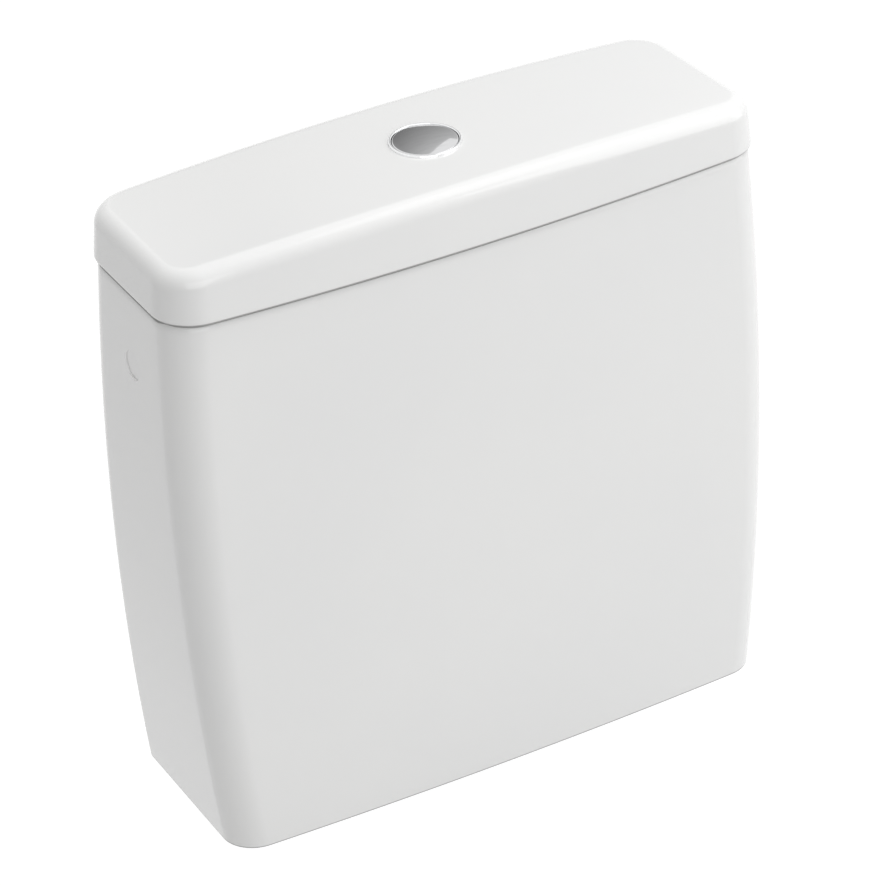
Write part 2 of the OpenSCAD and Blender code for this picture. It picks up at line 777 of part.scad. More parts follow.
module lift_yoke() {
    hook_top = hook_z + post_t;
    color(blue_plastic) difference() {
        union() {
            disc(yoke_r, yoke_seat, yoke_seat + yoke_t);
            upright(-rocker_w / 2, rocker_w / 2) polygon([
                [0, yoke_seat], [post_x + post_t, yoke_seat], [post_x + post_t, hook_top],
                [lift_x - lift_r / 2, hook_top], [lift_x - lift_r / 2, hook_z], [post_x, hook_z],
                [post_x, yoke_seat + yoke_t], [0, yoke_seat + yoke_t]
            ]);
        }
        disc(tube_r + fit_gap, yoke_seat - cut, yoke_seat + yoke_t + cut);
    }
}

module flush_seal() {
    color(rubber) pipe(tower_in - 1, tube_r + fit_gap, seat_z, carrier_z);
}

module seal_clamp() {
    color(grey_plastic) pipe(tail_bore / 2 - 3, tube_r + fit_gap, seat_z - clamp_h, seat_z);
}

module tube_float() {
    edge = 3;
    color(white_plastic) rotate_extrude() difference() {
        translate([0, tube_float_z]) {
            square([tube_float_d / 2 - edge, tube_float_h]);
            translate([0, edge]) square([tube_float_d / 2, tube_float_h - 2 * edge]);
            for (z = [edge, tube_float_h - edge]) translate([tube_float_d / 2 - edge, z]) circle(edge);
        }
        translate([-tube_float_d, tube_float_z - cut])
            square([tube_float_d + tube_r + fit_gap, tube_float_h + 2 * cut]);
    }
}

module fill_column() {
    thread_r = inlet_d / 2;
    color(white_plastic) at_fill_valve() difference() {
        union() {
            disc(thread_r, -inlet_len, relief_z);
            disc(thread_r - relief_depth, relief_z, relief_z + relief_w);
            disc(thread_r, relief_z + relief_w, inlet_flange_z);
            disc(inlet_flange_d / 2, inlet_flange_z, inlet_flange_z + inlet_flange_t);
            disc(column_d / 2, inlet_flange_z, head_z + column_socket);
        }
        disc(inlet_bore / 2, -inlet_len - cut, head_z + column_socket + cut);
    }
}

module inlet_strainer() {
    strainer_r = inlet_bore / 2 - fit_gap;
    color(grey_plastic) at_fill_valve() difference() {
        union() {
            disc(inlet_d / 2 - 1, -inlet_len - strainer_t, -inlet_len);
            disc(strainer_r, -inlet_len, strainer_h - inlet_len);
        }
        disc(strainer_r - 1.2, -inlet_len - strainer_t - cut, strainer_h - inlet_len - 1.5);
        for (turn = [0, 60, 120]) rotate(turn)
            translate([-strainer_r - cut, -0.8, 3 - inlet_len])
                cube([2 * (strainer_r + cut), 1.6, strainer_h - 6]);
    }
}

module inlet_washer() {
    color(rubber) at_fill_valve()
        pipe(inlet_flange_d / 2 - 1, inlet_d / 2 + fit_gap, floor_t, inlet_flange_z);
}

module inlet_under_washer() {
    color(rubber) at_fill_valve()
        pipe(inlet_flange_d / 2 - 1, inlet_d / 2 + fit_gap, -under_washer_t, 0);
}

module inlet_locknut() {
    nut_top = -under_washer_t;
    collar = 2;
    color(white_plastic) at_fill_valve() difference() {
        union() {
            hexagon(locknut_af, nut_top - locknut_h, nut_top - collar);
            disc(locknut_af / 2 + 2, nut_top - collar, nut_top);
        }
        disc(inlet_d / 2 + fit_gap, nut_top - locknut_h - cut, nut_top + cut);
    }
}

module discharge_tube() {
    quiet_in = quiet_d / 2 - quiet_wall;
    stop_top = float_foot - push_gap;
    color(white_plastic) at_fill_valve() {
        pipe(quiet_d / 2, quiet_in, quiet_mouth, head_z);
        pipe(quiet_d / 2 + 3, quiet_in, stop_top - stop_t, stop_top);
    }
}

module fill_head() {
    neck = 6;
    color(white_plastic) at_fill_valve() difference() {
        union() {
            disc(quiet_d / 2 + 1, head_z, head_z + neck);
            translate([0, 0, head_z + neck]) cylinder(r1 = quiet_d / 2 + 1, r2 = head_d / 2, h = neck);
            disc(head_d / 2, head_z + 2 * neck, diaphragm_z);
        }
        disc(column_d / 2 + fit_gap, head_z - cut, head_z + column_socket);
        disc(inlet_bore / 2, head_z, diaphragm_z - 3);
        pipe(head_d / 2 - 3, inlet_bore / 2 + 3, diaphragm_z - 6, diaphragm_z + cut);
        disc(inlet_bore / 2, head_z, diaphragm_z + cut);
    }
}

module diaphragm() {
    color(rubber) at_fill_valve() difference() {
        disc(head_d / 2, diaphragm_z, fill_cap_z);
        translate([inlet_bore / 2 + 2, 0, 0]) disc(0.6, diaphragm_z - cut, fill_cap_z + cut);
    }
}

module fill_cap() {
    ribs = 18;
    cap_edge = 2;
    ear_r = 6;
    pilot_x = lever_x + nub_arm - fill_x;
    color(grey_plastic) {
        at_fill_valve() {
            disc(head_d / 2 + 1, fill_cap_z, fill_cap_top - cap_edge);
            translate([0, 0, fill_cap_top - cap_edge])
                cylinder(r1 = head_d / 2 + 1, r2 = head_d / 2 + 1 - cap_edge, h = cap_edge);
            for (i = [0:ribs - 1]) rotate(360 * i / ribs)
                translate([head_d / 2, -0.9, fill_cap_z]) cube([2, 1.8, fill_cap_h - 3]);
            translate([pilot_x, 0, 0]) disc(2.5, fill_cap_top - 1, pilot_top);
        }
        for (side = [-1, 1])
            upright(
                fill_y + (side > 0 ? ear_y : -ear_y - ear_t), fill_y + (side > 0 ? ear_y + ear_t : -ear_y)
            ) difference() {
                union() {
                    translate([lever_x - ear_r, fill_cap_top - 1])
                        square([2 * ear_r, lever_z - fill_cap_top + 1]);
                    translate([lever_x, lever_z]) circle(ear_r);
                }
                translate([lever_x, lever_z]) circle(lever_pin_d / 2 + fit_gap);
            }
    }
}

module float_cup() {
    color(grey_plastic) {
        at_fill_valve() difference() {
            pipe(float_d / 2, float_in, float_foot, float_top);
            pipe(float_d / 2 - float_wall, float_in + float_wall, float_foot - cut, float_top - float_wall);
        }
        translate([rod_x, fill_y, 0])
            pipe(rod_lug_r, float_rod_d / 2 + fit_gap, float_top, float_top + rod_lug_h);
    }
}

module float_rod() {
    rod_top = rod_eye_z + thumb_room + thumb_t + 6;
    color(white_plastic) translate([rod_x, fill_y, 0]) disc(float_rod_d / 2, float_top, rod_top);
}

module thumb_nut(bottom) {
    color(blue_plastic) translate([rod_x, fill_y, 0]) difference() {
        translate([0, 0, bottom]) cylinder(r = thumb_r, h = thumb_t, $fn = 12);
        disc(float_rod_d / 2 + fit_gap / 2, bottom - cut, bottom + thumb_t + cut);
    }
}

module rod_nut_lower() {
    thumb_nut(rod_eye_z - thumb_room - thumb_t);
}

module rod_nut_upper() {
    thumb_nut(rod_eye_z + thumb_room);
}

module float_lever() {
    reach_in = norm([lever_arm, float_travel / 2]);
    reach_out = norm([nub_arm, nub_drop]);
    eye = float_rod_d / 2 + 2 * slide_gap;
    eye_len = float_rod_d / 2 + 3 * slide_gap;
    nub_r = 2;
    nub_room = lever_z - pilot_top - push_gap;
    nub_h = (nub_room - (reach_out + nub_r) * sin(lever_tilt)) / cos(lever_tilt);
    color(blue_plastic) translate([lever_x, fill_y, lever_z]) rotate([0, -lever_tilt, 0]) difference() {
        union() {
            translate([-reach_in, -lever_w / 2, -lever_t / 2])
                cube([reach_in + reach_out + nub_r, lever_w, lever_t]);
            translate([-reach_in, 0, -lever_t / 2]) cylinder(r = fork_half, h = lever_t);
            upright(-lever_w / 2, lever_w / 2) circle(lever_boss_r);
            translate([reach_out, 0, -nub_h]) cylinder(r = nub_r, h = nub_h);
        }
        translate([-reach_in - eye_len, -eye, -lever_t]) cube([2 * eye_len, 2 * eye, 2 * lever_t]);
        upright(-lever_w, lever_w) circle(lever_pin_d / 2 + slide_gap);
    }
}

module lever_pin() {
    half = ear_y + ear_t + 1;
    color(steel) upright(fill_y - half, fill_y + half)
        translate([lever_x, lever_z]) circle(lever_pin_d / 2);
}

module coupling_bolt(side) {
    head_low = cone_top + washer_t;
    color(brass) translate([side * bolt_spacing / 2, 0, 0]) {
        disc(bolt_d / 2, -bolt_len, 0);
        disc(shank_r, 0, head_low);
        hexagon(bolt_af, head_low, head_low + bolt_head_h);
    }
}

module bolt_left() {
    coupling_bolt(-1);
}

module bolt_right() {
    coupling_bolt(1);
}

module cone_washer(side) {
    hole_r = bolt_hole_d / 2 - cone_clear;
    color(rubber) translate([side * bolt_spacing / 2, 0, 0]) difference() {
        union() {
            disc(cone_d / 2, floor_t, cone_top);
            translate([0, 0, floor_t - cone_depth]) cylinder(r1 = hole_r - 1, r2 = hole_r, h = cone_depth);
        }
        disc(bolt_d / 2 + fit_gap, floor_t - cone_depth - cut, cone_top + cut);
    }
}

module cone_washer_left() {
    cone_washer(-1);
}

module cone_washer_right() {
    cone_washer(1);
}

module bolt_washer(side) {
    color(steel) translate([side * bolt_spacing / 2, 0, 0])
        pipe(washer_d / 2, bolt_d / 2 + fit_gap, cone_top, cone_top + washer_t);
}

module bolt_washer_left() {
    bolt_washer(-1);
}

module bolt_washer_right() {
    bolt_washer(1);
}

tank();
lid();
button_bezel();
bezel_nut();
button_cap();
button_retainer();
button_spring();
push_rod();
valve_base();
base_gasket();
valve_backnut();
sponge_ring();
valve_tower();
valve_bracket();
rocker();
rocker_pin();
lift_tube();
lift_yoke();
flush_seal();
seal_clamp();
tube_float();
fill_column();
inlet_strainer();
inlet_washer();
inlet_under_washer();
inlet_locknut();
discharge_tube();
fill_head();
diaphragm();
fill_cap();
float_cup();
float_rod();
rod_nut_lower();
rod_nut_upper();
float_lever();
lever_pin();
bolt_left();
bolt_right();
cone_washer_left();
cone_washer_right();
bolt_washer_left();
bolt_washer_right();
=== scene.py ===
"""Close-coupled toilet cistern in glazed china, with its push button, flush valve, fill valve and bolts.

Lengths are in metres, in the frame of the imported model: the origin is the flush outlet's axis on the
base plane, -Y is the front and +Z is up.
"""

from __future__ import annotations

import logging
import math
from dataclasses import dataclass, field
from enum import Enum
from typing import Callable, Sequence

import bmesh
import bpy
from bmesh.types import BMEdge, BMVert
from mathutils import Matrix, Vector

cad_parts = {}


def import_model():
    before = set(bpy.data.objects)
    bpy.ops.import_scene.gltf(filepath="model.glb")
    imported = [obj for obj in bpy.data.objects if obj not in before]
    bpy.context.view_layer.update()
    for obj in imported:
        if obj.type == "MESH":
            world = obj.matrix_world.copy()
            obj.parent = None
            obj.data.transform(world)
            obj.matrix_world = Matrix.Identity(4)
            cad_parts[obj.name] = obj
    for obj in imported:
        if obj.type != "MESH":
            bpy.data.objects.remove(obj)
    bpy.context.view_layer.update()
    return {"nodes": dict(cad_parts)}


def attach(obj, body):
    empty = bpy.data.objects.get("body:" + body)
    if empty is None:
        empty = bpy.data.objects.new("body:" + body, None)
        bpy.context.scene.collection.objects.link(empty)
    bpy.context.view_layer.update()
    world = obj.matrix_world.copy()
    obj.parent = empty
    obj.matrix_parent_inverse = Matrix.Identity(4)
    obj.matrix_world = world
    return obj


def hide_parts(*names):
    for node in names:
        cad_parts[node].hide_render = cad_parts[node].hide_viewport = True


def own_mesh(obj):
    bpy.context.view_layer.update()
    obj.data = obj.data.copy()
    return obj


LOG = logging.getLogger("cistern")

Pair = tuple[float, float]
Triple = tuple[float, float, float]
Colour = tuple[float, float, float]
Profile = Sequence[Pair]

EVEN: Triple = (1.0, 1.0, 1.0)
UPRIGHT: Triple = (0.0, 0.0, 1.0)
PURE_WHITE: Colour = (1.0, 1.0, 1.0)
MERGE_REACH = 1e-6
SLIVER_REACH = 1e-7


class Body(Enum):
    """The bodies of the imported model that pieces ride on."""

    CISTERN = "cistern"
    COVER = "cover"
    BUTTON = "button"


class Slot(Enum):
    """The record's material slots."""

    CHINA = "china"
    CHROME = "chromed_plastic"
    WHITE = "white_plastic"
    GREY = "grey_plastic"
    BLUE = "blue_plastic"
    RUBBER = "rubber"
    SPONGE = "sponge"
    STEEL = "steel"
    BRASS = "brass"


class Signal:
    """A number that changes over a surface: a node's output, with operators that add Math nodes."""

    def __init__(self, graph: Graph, socket: bpy.types.NodeSocket) -> None:
        """Wrap one output socket of a graph."""
        self.graph = graph
        self.socket = socket

    def joined(self, operation: str, first: Signal | float, second: Signal | float) -> Signal:
        """Add one Math node.

        Args:
            operation: The Math node's operation.
            first: Its first input.
            second: Its second input.

        Returns:
            The node's result.
        """
        made = self.graph.node("ShaderNodeMath", {"operation": operation}, {0: first, 1: second})
        return Signal(self.graph, made.outputs[0])

    def __add__(self, other: Signal | float) -> Signal:
        """Sum of this and another value."""
        return self.joined("ADD", self, other)

    def __radd__(self, other: float) -> Signal:
        """Sum of a number and this."""
        return self.joined("ADD", other, self)

    def __sub__(self, other: Signal | float) -> Signal:
        """This less another value."""
        return self.joined("SUBTRACT", self, other)

    def __rsub__(self, other: float) -> Signal:
        """A number less this."""
        return self.joined("SUBTRACT", other, self)

    def __mul__(self, other: Signal | float) -> Signal:
        """Product of this and another value."""
        return self.joined("MULTIPLY", self, other)

    def __rmul__(self, other: float) -> Signal:
        """Product of a number and this."""
        return self.joined("MULTIPLY", other, self)

    def largest(self, other: Signal | float) -> Signal:
        """The larger of this and another value."""
        return self.joined("MAXIMUM", self, other)

    def step(self, low: float, high: float) -> Signal:
        """Smooth step from 0 at low to 1 at high."""
        made = self.graph.node(
            "ShaderNodeMapRange",
            {"interpolation_type": "SMOOTHSTEP"},
            {"Value": self, "From Min": low, "From Max": high, "To Min": 0.0, "To Max": 1.0},
        )
        return Signal(self.graph, made.outputs["Result"])


class Graph:
    """The node tree of one material or of the world."""

    def __init__(self, tree: bpy.types.NodeTree) -> None:
        """Empty a node tree and take it over."""
        tree.nodes.clear()
        self.tree = tree

    def node(
        self, kind: str, settings: dict[str, object], inputs: dict[str | int, object]
    ) -> bpy.types.Node:
        """Make any node.

        Args:
            kind: The node's type.
            settings: Its own settings, set before the sockets.
            inputs: Values or links of its sockets, by name or place.

        Returns:
            The new node.
        """
        made = self.tree.nodes.new(kind)
        for name, value in settings.items():
            setattr(made, name, value)
        for key, value in inputs.items():
            socket = made.inputs[key]
            if isinstance(value, Signal):
                self.tree.links.new(value.socket, socket)
            elif isinstance(value, bpy.types.NodeSocket):
                self.tree.links.new(value, socket)
            elif isinstance(value, tuple) and len(value) == 3 and socket.type == "RGBA":
                socket.default_value = (*value, 1.0)
            else:
                socket.default_value = value
        return made

    def places(self, stretch: Triple = EVEN) -> bpy.types.NodeSocket:
        """Object coordinates, stretched along each axis."""
        where = self.node("ShaderNodeTexCoord", {}, {}).outputs["Object"]
        if stretch == EVEN:
            return where
        return self.node("ShaderNodeMapping", {}, {"Vector": where, "Scale": stretch}).outputs["Vector"]

    def along(self, axis: str) -> Signal:
        """Place of a point along one axis of the object."""
        split = self.node("ShaderNodeSeparateXYZ", {}, {"Vector": self.places()})
        return Signal(self, split.outputs[axis])

    def noise(self, scale: float, detail: float, stretch: Triple = EVEN) -> Signal:
        """Cloudy value between 0 and 1.

        Args:
            scale: Cells to a metre.
            detail: Octaves of finer cells.
            stretch: How much finer it is along each axis.

        Returns:
            The value.
        """
        made = self.node(
            "ShaderNodeTexNoise", {}, {"Vector": self.places(stretch), "Scale": scale, "Detail": detail}
        )
        return Signal(self, made.outputs["Fac"])

    def cells(self, scale: float) -> Signal:
        """Distance to the nearest of scattered points, with a number of cells to a metre."""
        made = self.node("ShaderNodeTexVoronoi", {}, {"Vector": self.places(), "Scale": scale})
        return Signal(self, made.outputs["Distance"])

    def blend(self, share: Signal, first: object, second: object) -> bpy.types.NodeSocket:
        """Mix two colours by a share from 0 to 1."""
        made = self.node("ShaderNodeMix", {"data_type": "RGBA"}, {0: share, 6: first, 7: second})
        return made.outputs[2]

    def relief(self, depth: Signal, strength: float, distance: float) -> bpy.types.NodeSocket:
        """Bump that turns a depth from 0 to 1 into a slope of the surface."""
        made = self.node("ShaderNodeBump", {}, {"Strength": strength, "Distance": distance, "Height": depth})
        return made.outputs["Normal"]


@dataclass(frozen=True)
class Finish:
    """What all finishes have: a slot, a colour and how much it changes over the surface."""

    slot: Slot
    name: str
    colour: Colour
    shade: Colour
    roughness: float

    def material(self) -> bpy.types.Material:
        """The finish's material, made once.

        Returns:
            The material.
        """
        found = bpy.data.materials.get(self.name)
        if found is not None:
            return found
        made = bpy.data.materials.new(self.name)
        made.use_nodes = True
        graph = Graph(made.node_tree)
        shader = graph.node("ShaderNodeBsdfPrincipled", {}, self.sockets(graph))
        graph.node("ShaderNodeOutputMaterial", {}, {"Surface": shader.outputs["BSDF"]})
        return made

    def sockets(self, graph: Graph) -> dict[str | int, object]:
        """Values and links of the shader's sockets."""
        raise NotImplementedError


@dataclass(frozen=True)
class GlazedChina(Finish):
    """White china under a clear glaze, unglazed, matt and painted dark as shade on the foot and where the lid
    meets the rim.

    Attributes:
        foot: Height of the unglazed foot, whose dark colour is a painted shadow line along the base.
        seam: Lowest and highest place of the unglazed seam, whose dark colour is painted shade in the gap
            under the lid.
        fade: How far the glaze takes to run out into these dark bands.
        ends: Distance from the middle between which the painted seam shade reaches down to its place on the
            ends.
        end_front: Places from front to back between which it does so.
        end_dip: How much lower it is there.
        bare_and_painted_shade: Colour of the unglazed bands, darker than unglazed china as painted shade.
        bare_roughness: How much rougher unglazed china is.
        clouds: Clouds of colour to a metre.
        cloud_edges: Where a cloud starts and where it is full.
        smears: Uneven patches of gloss to a metre.
        smear_edges: Where a patch starts and where it is full.
        smear_roughness: How much rougher a patch is.
        glaze: Weight of the glaze.
        glaze_roughness: Its roughness.
        glaze_index: Its refractive index.
        ripples: Ripples of the glaze to a metre.
        ripple: Their strength.
        ripple_height: Their height.
    """

    # The foot and seam bands are unglazed china coloured dark as painted shade: a painted shadow line along
    # the base and painted shade in the gap under the lid.
    foot: float = 0.0011
    seam: Pair = (0.3496, 0.3524)
    fade: float = 0.0003
    ends: Pair = (0.180, 0.186)
    end_front: Pair = (-0.042, -0.032)
    end_dip: float = 0.0014
    bare_and_painted_shade: Colour = (0.43, 0.428, 0.424)
    bare_roughness: float = 0.55
    clouds: float = 7.0
    cloud_edges: Pair = (0.3, 0.7)
    smears: float = 26.0
    smear_edges: Pair = (0.35, 0.8)
    smear_roughness: float = 0.05
    glaze: float = 0.6
    glaze_roughness: float = 0.02
    glaze_index: float = 1.5
    ripples: float = 34.0
    ripple: float = 0.05
    ripple_height: float = 0.0006

    def sockets(self, graph: Graph) -> dict[str | int, object]:
        """Cloudy white body, slightly uneven gloss, the glaze's faint ripple and unglazed bands painted dark
        as shade.
        """
        height, across, along = graph.along("Z"), graph.along("X"), graph.along("Y")
        # The seam band, lower on the ends, and the foot band make up the unglazed mask; its dark colour is
        # painted shade.
        low, high = self.seam
        outwards = across.largest(0.0 - across)
        dip = self.end_dip * outwards.step(*self.ends) * along.step(*self.end_front)
        rim = (height + dip).step(low - self.fade, low) * (1.0 - height.step(high, high + self.fade))
        bare_and_painted_shade = rim.largest(1.0 - height.step(self.foot, self.foot + self.fade))
        cloud = graph.noise(self.clouds, detail=2.0).step(*self.cloud_edges)
        smear = graph.noise(self.smears, detail=2.0).step(*self.smear_edges)
        body = graph.blend(cloud, self.colour, self.shade)
        ripple = graph.noise(self.ripples, detail=1.0)
        return {
            "Base Color": graph.blend(bare_and_painted_shade, body, self.bare_and_painted_shade),
            "Roughness": self.roughness + self.smear_roughness * smear + self.bare_roughness * bare_and_painted_shade,
            "Coat Weight": self.glaze - self.glaze * bare_and_painted_shade,
            "Coat Roughness": self.glaze_roughness,
            "Coat IOR": self.glaze_index,
            "Normal": graph.relief(ripple, self.ripple, self.ripple_height),
        }


@dataclass(frozen=True)
class Chrome(Finish):
    """Bright plated plastic with a trace of wiping marks.

    Attributes:
        wipes: Wiping marks to a metre.
        wipe_stretch: How much finer they are along each axis.
        wipe_edges: Where a mark starts and where it is full.
        wipe_roughness: How much rougher a mark is.
        waves: Waves of the plating to a metre.
        wave: Their strength.
        wave_height: Their height.
    """

    wipes: float = 90.0
    wipe_stretch: Triple = (1.0, 5.0, 1.0)
    wipe_edges: Pair = (0.35, 0.75)
    wipe_roughness: float = 0.03
    waves: float = 60.0
    wave: float = 0.03
    wave_height: float = 0.0003

    def sockets(self, graph: Graph) -> dict[str | int, object]:
        """Metal with faint changes of tint and gloss."""
        wiped = graph.noise(self.wipes, detail=4.0, stretch=self.wipe_stretch).step(*self.wipe_edges)
        return {
            "Base Color": graph.blend(wiped, self.colour, self.shade),
            "Metallic": 1.0,
            "Roughness": self.roughness + self.wipe_roughness * wiped,
            "Normal": graph.relief(graph.noise(self.waves, detail=1.0), self.wave, self.wave_height),
        }


@dataclass(frozen=True)
class MouldedPlastic(Finish):
    """Moulded plastic with a fine satin texture.

    Attributes:
        flows: Clouds of the melt's flow to a metre.
        flow_stretch: How much finer they are along each axis.
        flow_edges: Where a cloud starts and where it is full.
        satin: Uneven patches of gloss to a metre.
        satin_roughness: How much rougher a patch is.
        pits: Pits of the mould's texture to a metre.
        pit: Their strength.
        pit_depth: Their depth.
    """

    flows: float = 30.0
    flow_stretch: Triple = (1.0, 1.0, 0.4)
    flow_edges: Pair = (0.3, 0.7)
    satin: float = 120.0
    satin_roughness: float = 0.1
    pits: float = 1800.0
    pit: float = 0.12
    pit_depth: float = 0.0002

    def sockets(self, graph: Graph) -> dict[str | int, object]:
        """Flow-clouded colour, satin gloss and fine pitting."""
        flow = graph.noise(self.flows, detail=3.0, stretch=self.flow_stretch).step(*self.flow_edges)
        return {
            "Base Color": graph.blend(flow, self.colour, self.shade),
            "Roughness": self.roughness + self.satin_roughness * graph.noise(self.satin, detail=2.0),
            "Normal": graph.relief(graph.noise(self.pits, detail=2.0), self.pit, self.pit_depth),
        }


@dataclass(frozen=True)
class Rubber(Finish):
    """Matt black rubber with a dusty bloom.

    Attributes:
        blooms: Patches of bloom to a metre.
        bloom_edges: Where a patch starts and where it is full.
        bloom_roughness: How much rougher a patch is.
        grains: Grains of the skin to a metre.
        grain: Their strength.
        grain_height: Their height.
    """

    blooms: float = 70.0
    bloom_edges: Pair = (0.45, 0.75)
    bloom_roughness: float = 0.15
    grains: float = 900.0
    grain: float = 0.25
    grain_height: float = 0.0003

    def sockets(self, graph: Graph) -> dict[str | int, object]:
        """Dull colour, bloom in patches and a rough skin."""
        bloom = graph.noise(self.blooms, detail=4.0).step(*self.bloom_edges)
        return {
            "Base Color": graph.blend(bloom, self.colour, self.shade),
            "Roughness": self.roughness + self.bloom_roughness * bloom,
            "Normal": graph.relief(graph.noise(self.grains, detail=3.0), self.grain, self.grain_height),
        }


@dataclass(frozen=True)
class CellularRubber(Finish):
    """Open-celled sponge rubber.

    Attributes:
        pores: Coarse pores to a metre.
        pore_edges: Where a coarse pore ends and where the skin is full.
        finer: How many times finer the small pores are.
        fine_edges: Where a small pore ends and where the skin is full.
        coarse_share: Share of the coarse pores in the surface.
        relief: Strength of the pores.
        relief_depth: Their depth.
    """

    pores: float = 620.0
    pore_edges: Pair = (0.1, 0.55)
    finer: float = 2.3
    fine_edges: Pair = (0.1, 0.5)
    coarse_share: float = 0.7
    relief: float = 0.8
    relief_depth: float = 0.0012

    def sockets(self, graph: Graph) -> dict[str | int, object]:
        """Pores of two sizes, painted darker than the skin between them as shade in the holes."""
        coarse = graph.cells(self.pores).step(*self.pore_edges)
        fine = graph.cells(self.pores * self.finer).step(*self.fine_edges)
        skin = self.coarse_share * coarse + (1.0 - self.coarse_share) * fine
        return {
            "Base Color": graph.blend(skin, self.colour, self.shade),
            "Roughness": self.roughness,
            "Normal": graph.relief(skin, self.relief, self.relief_depth),
        }


@dataclass(frozen=True)
class TurnedMetal(Finish):
    """Turned and drawn metal with fine marks across its length.

    Attributes:
        tarnishes: Patches of tarnish to a metre.
        tarnish_edges: Where a patch starts and where it is full.
        tarnish_roughness: How much rougher a patch is.
        marks: Tool marks to a metre.
        mark_stretch: How much finer they are along each axis.
        mark_roughness: How much rougher a mark is.
        mark: Strength of the marks.
        mark_depth: Their depth.
    """

    tarnishes: float = 110.0
    tarnish_edges: Pair = (0.4, 0.8)
    tarnish_roughness: float = 0.12
    marks: float = 240.0
    mark_stretch: Triple = (1.0, 1.0, 16.0)
    mark_roughness: float = 0.08
    mark: float = 0.15
    mark_depth: float = 0.0002

    def sockets(self, graph: Graph) -> dict[str | int, object]:
        """Metal with tarnish in patches and tool marks."""
        tarnish = graph.noise(self.tarnishes, detail=4.0).step(*self.tarnish_edges)
        marks = graph.noise(self.marks, detail=2.0, stretch=self.mark_stretch)
        return {
            "Base Color": graph.blend(tarnish, self.colour, self.shade),
            "Metallic": 1.0,
            "Roughness": self.roughness + self.tarnish_roughness * tarnish + self.mark_roughness * marks,
            "Normal": graph.relief(marks, self.mark, self.mark_depth),
        }


CHINA = GlazedChina(Slot.CHINA, "glazed_china", (0.845, 0.845, 0.838), (0.83, 0.831, 0.827), 0.08)
CHROME = Chrome(Slot.CHROME, "bright_chrome", (0.90, 0.905, 0.91), (0.86, 0.865, 0.87), 0.05)
SATIN = Chrome(Slot.CHROME, "satin_chrome", (0.74, 0.743, 0.75), (0.71, 0.713, 0.72), 0.05)
WHITE = MouldedPlastic(Slot.WHITE, "white_moulding", (0.78, 0.78, 0.755), (0.74, 0.74, 0.71), 0.38)
GREY = MouldedPlastic(Slot.GREY, "grey_moulding", (0.34, 0.36, 0.38), (0.30, 0.32, 0.34), 0.4)
BLUE = MouldedPlastic(Slot.BLUE, "blue_moulding", (0.055, 0.15, 0.36), (0.045, 0.125, 0.31), 0.36)
RUBBER = Rubber(Slot.RUBBER, "black_rubber", (0.022, 0.022, 0.024), (0.045, 0.045, 0.047), 0.62)
SPONGE = CellularRubber(Slot.SPONGE, "sponge_rubber", (0.012, 0.012, 0.013), (0.05, 0.05, 0.053), 0.85)
STEEL = TurnedMetal(Slot.STEEL, "bright_steel", (0.62, 0.63, 0.64), (0.5, 0.51, 0.52), 0.22)
BRASS = TurnedMetal(Slot.BRASS, "plain_brass", (0.70, 0.50, 0.20), (0.52, 0.36, 0.14), 0.24)


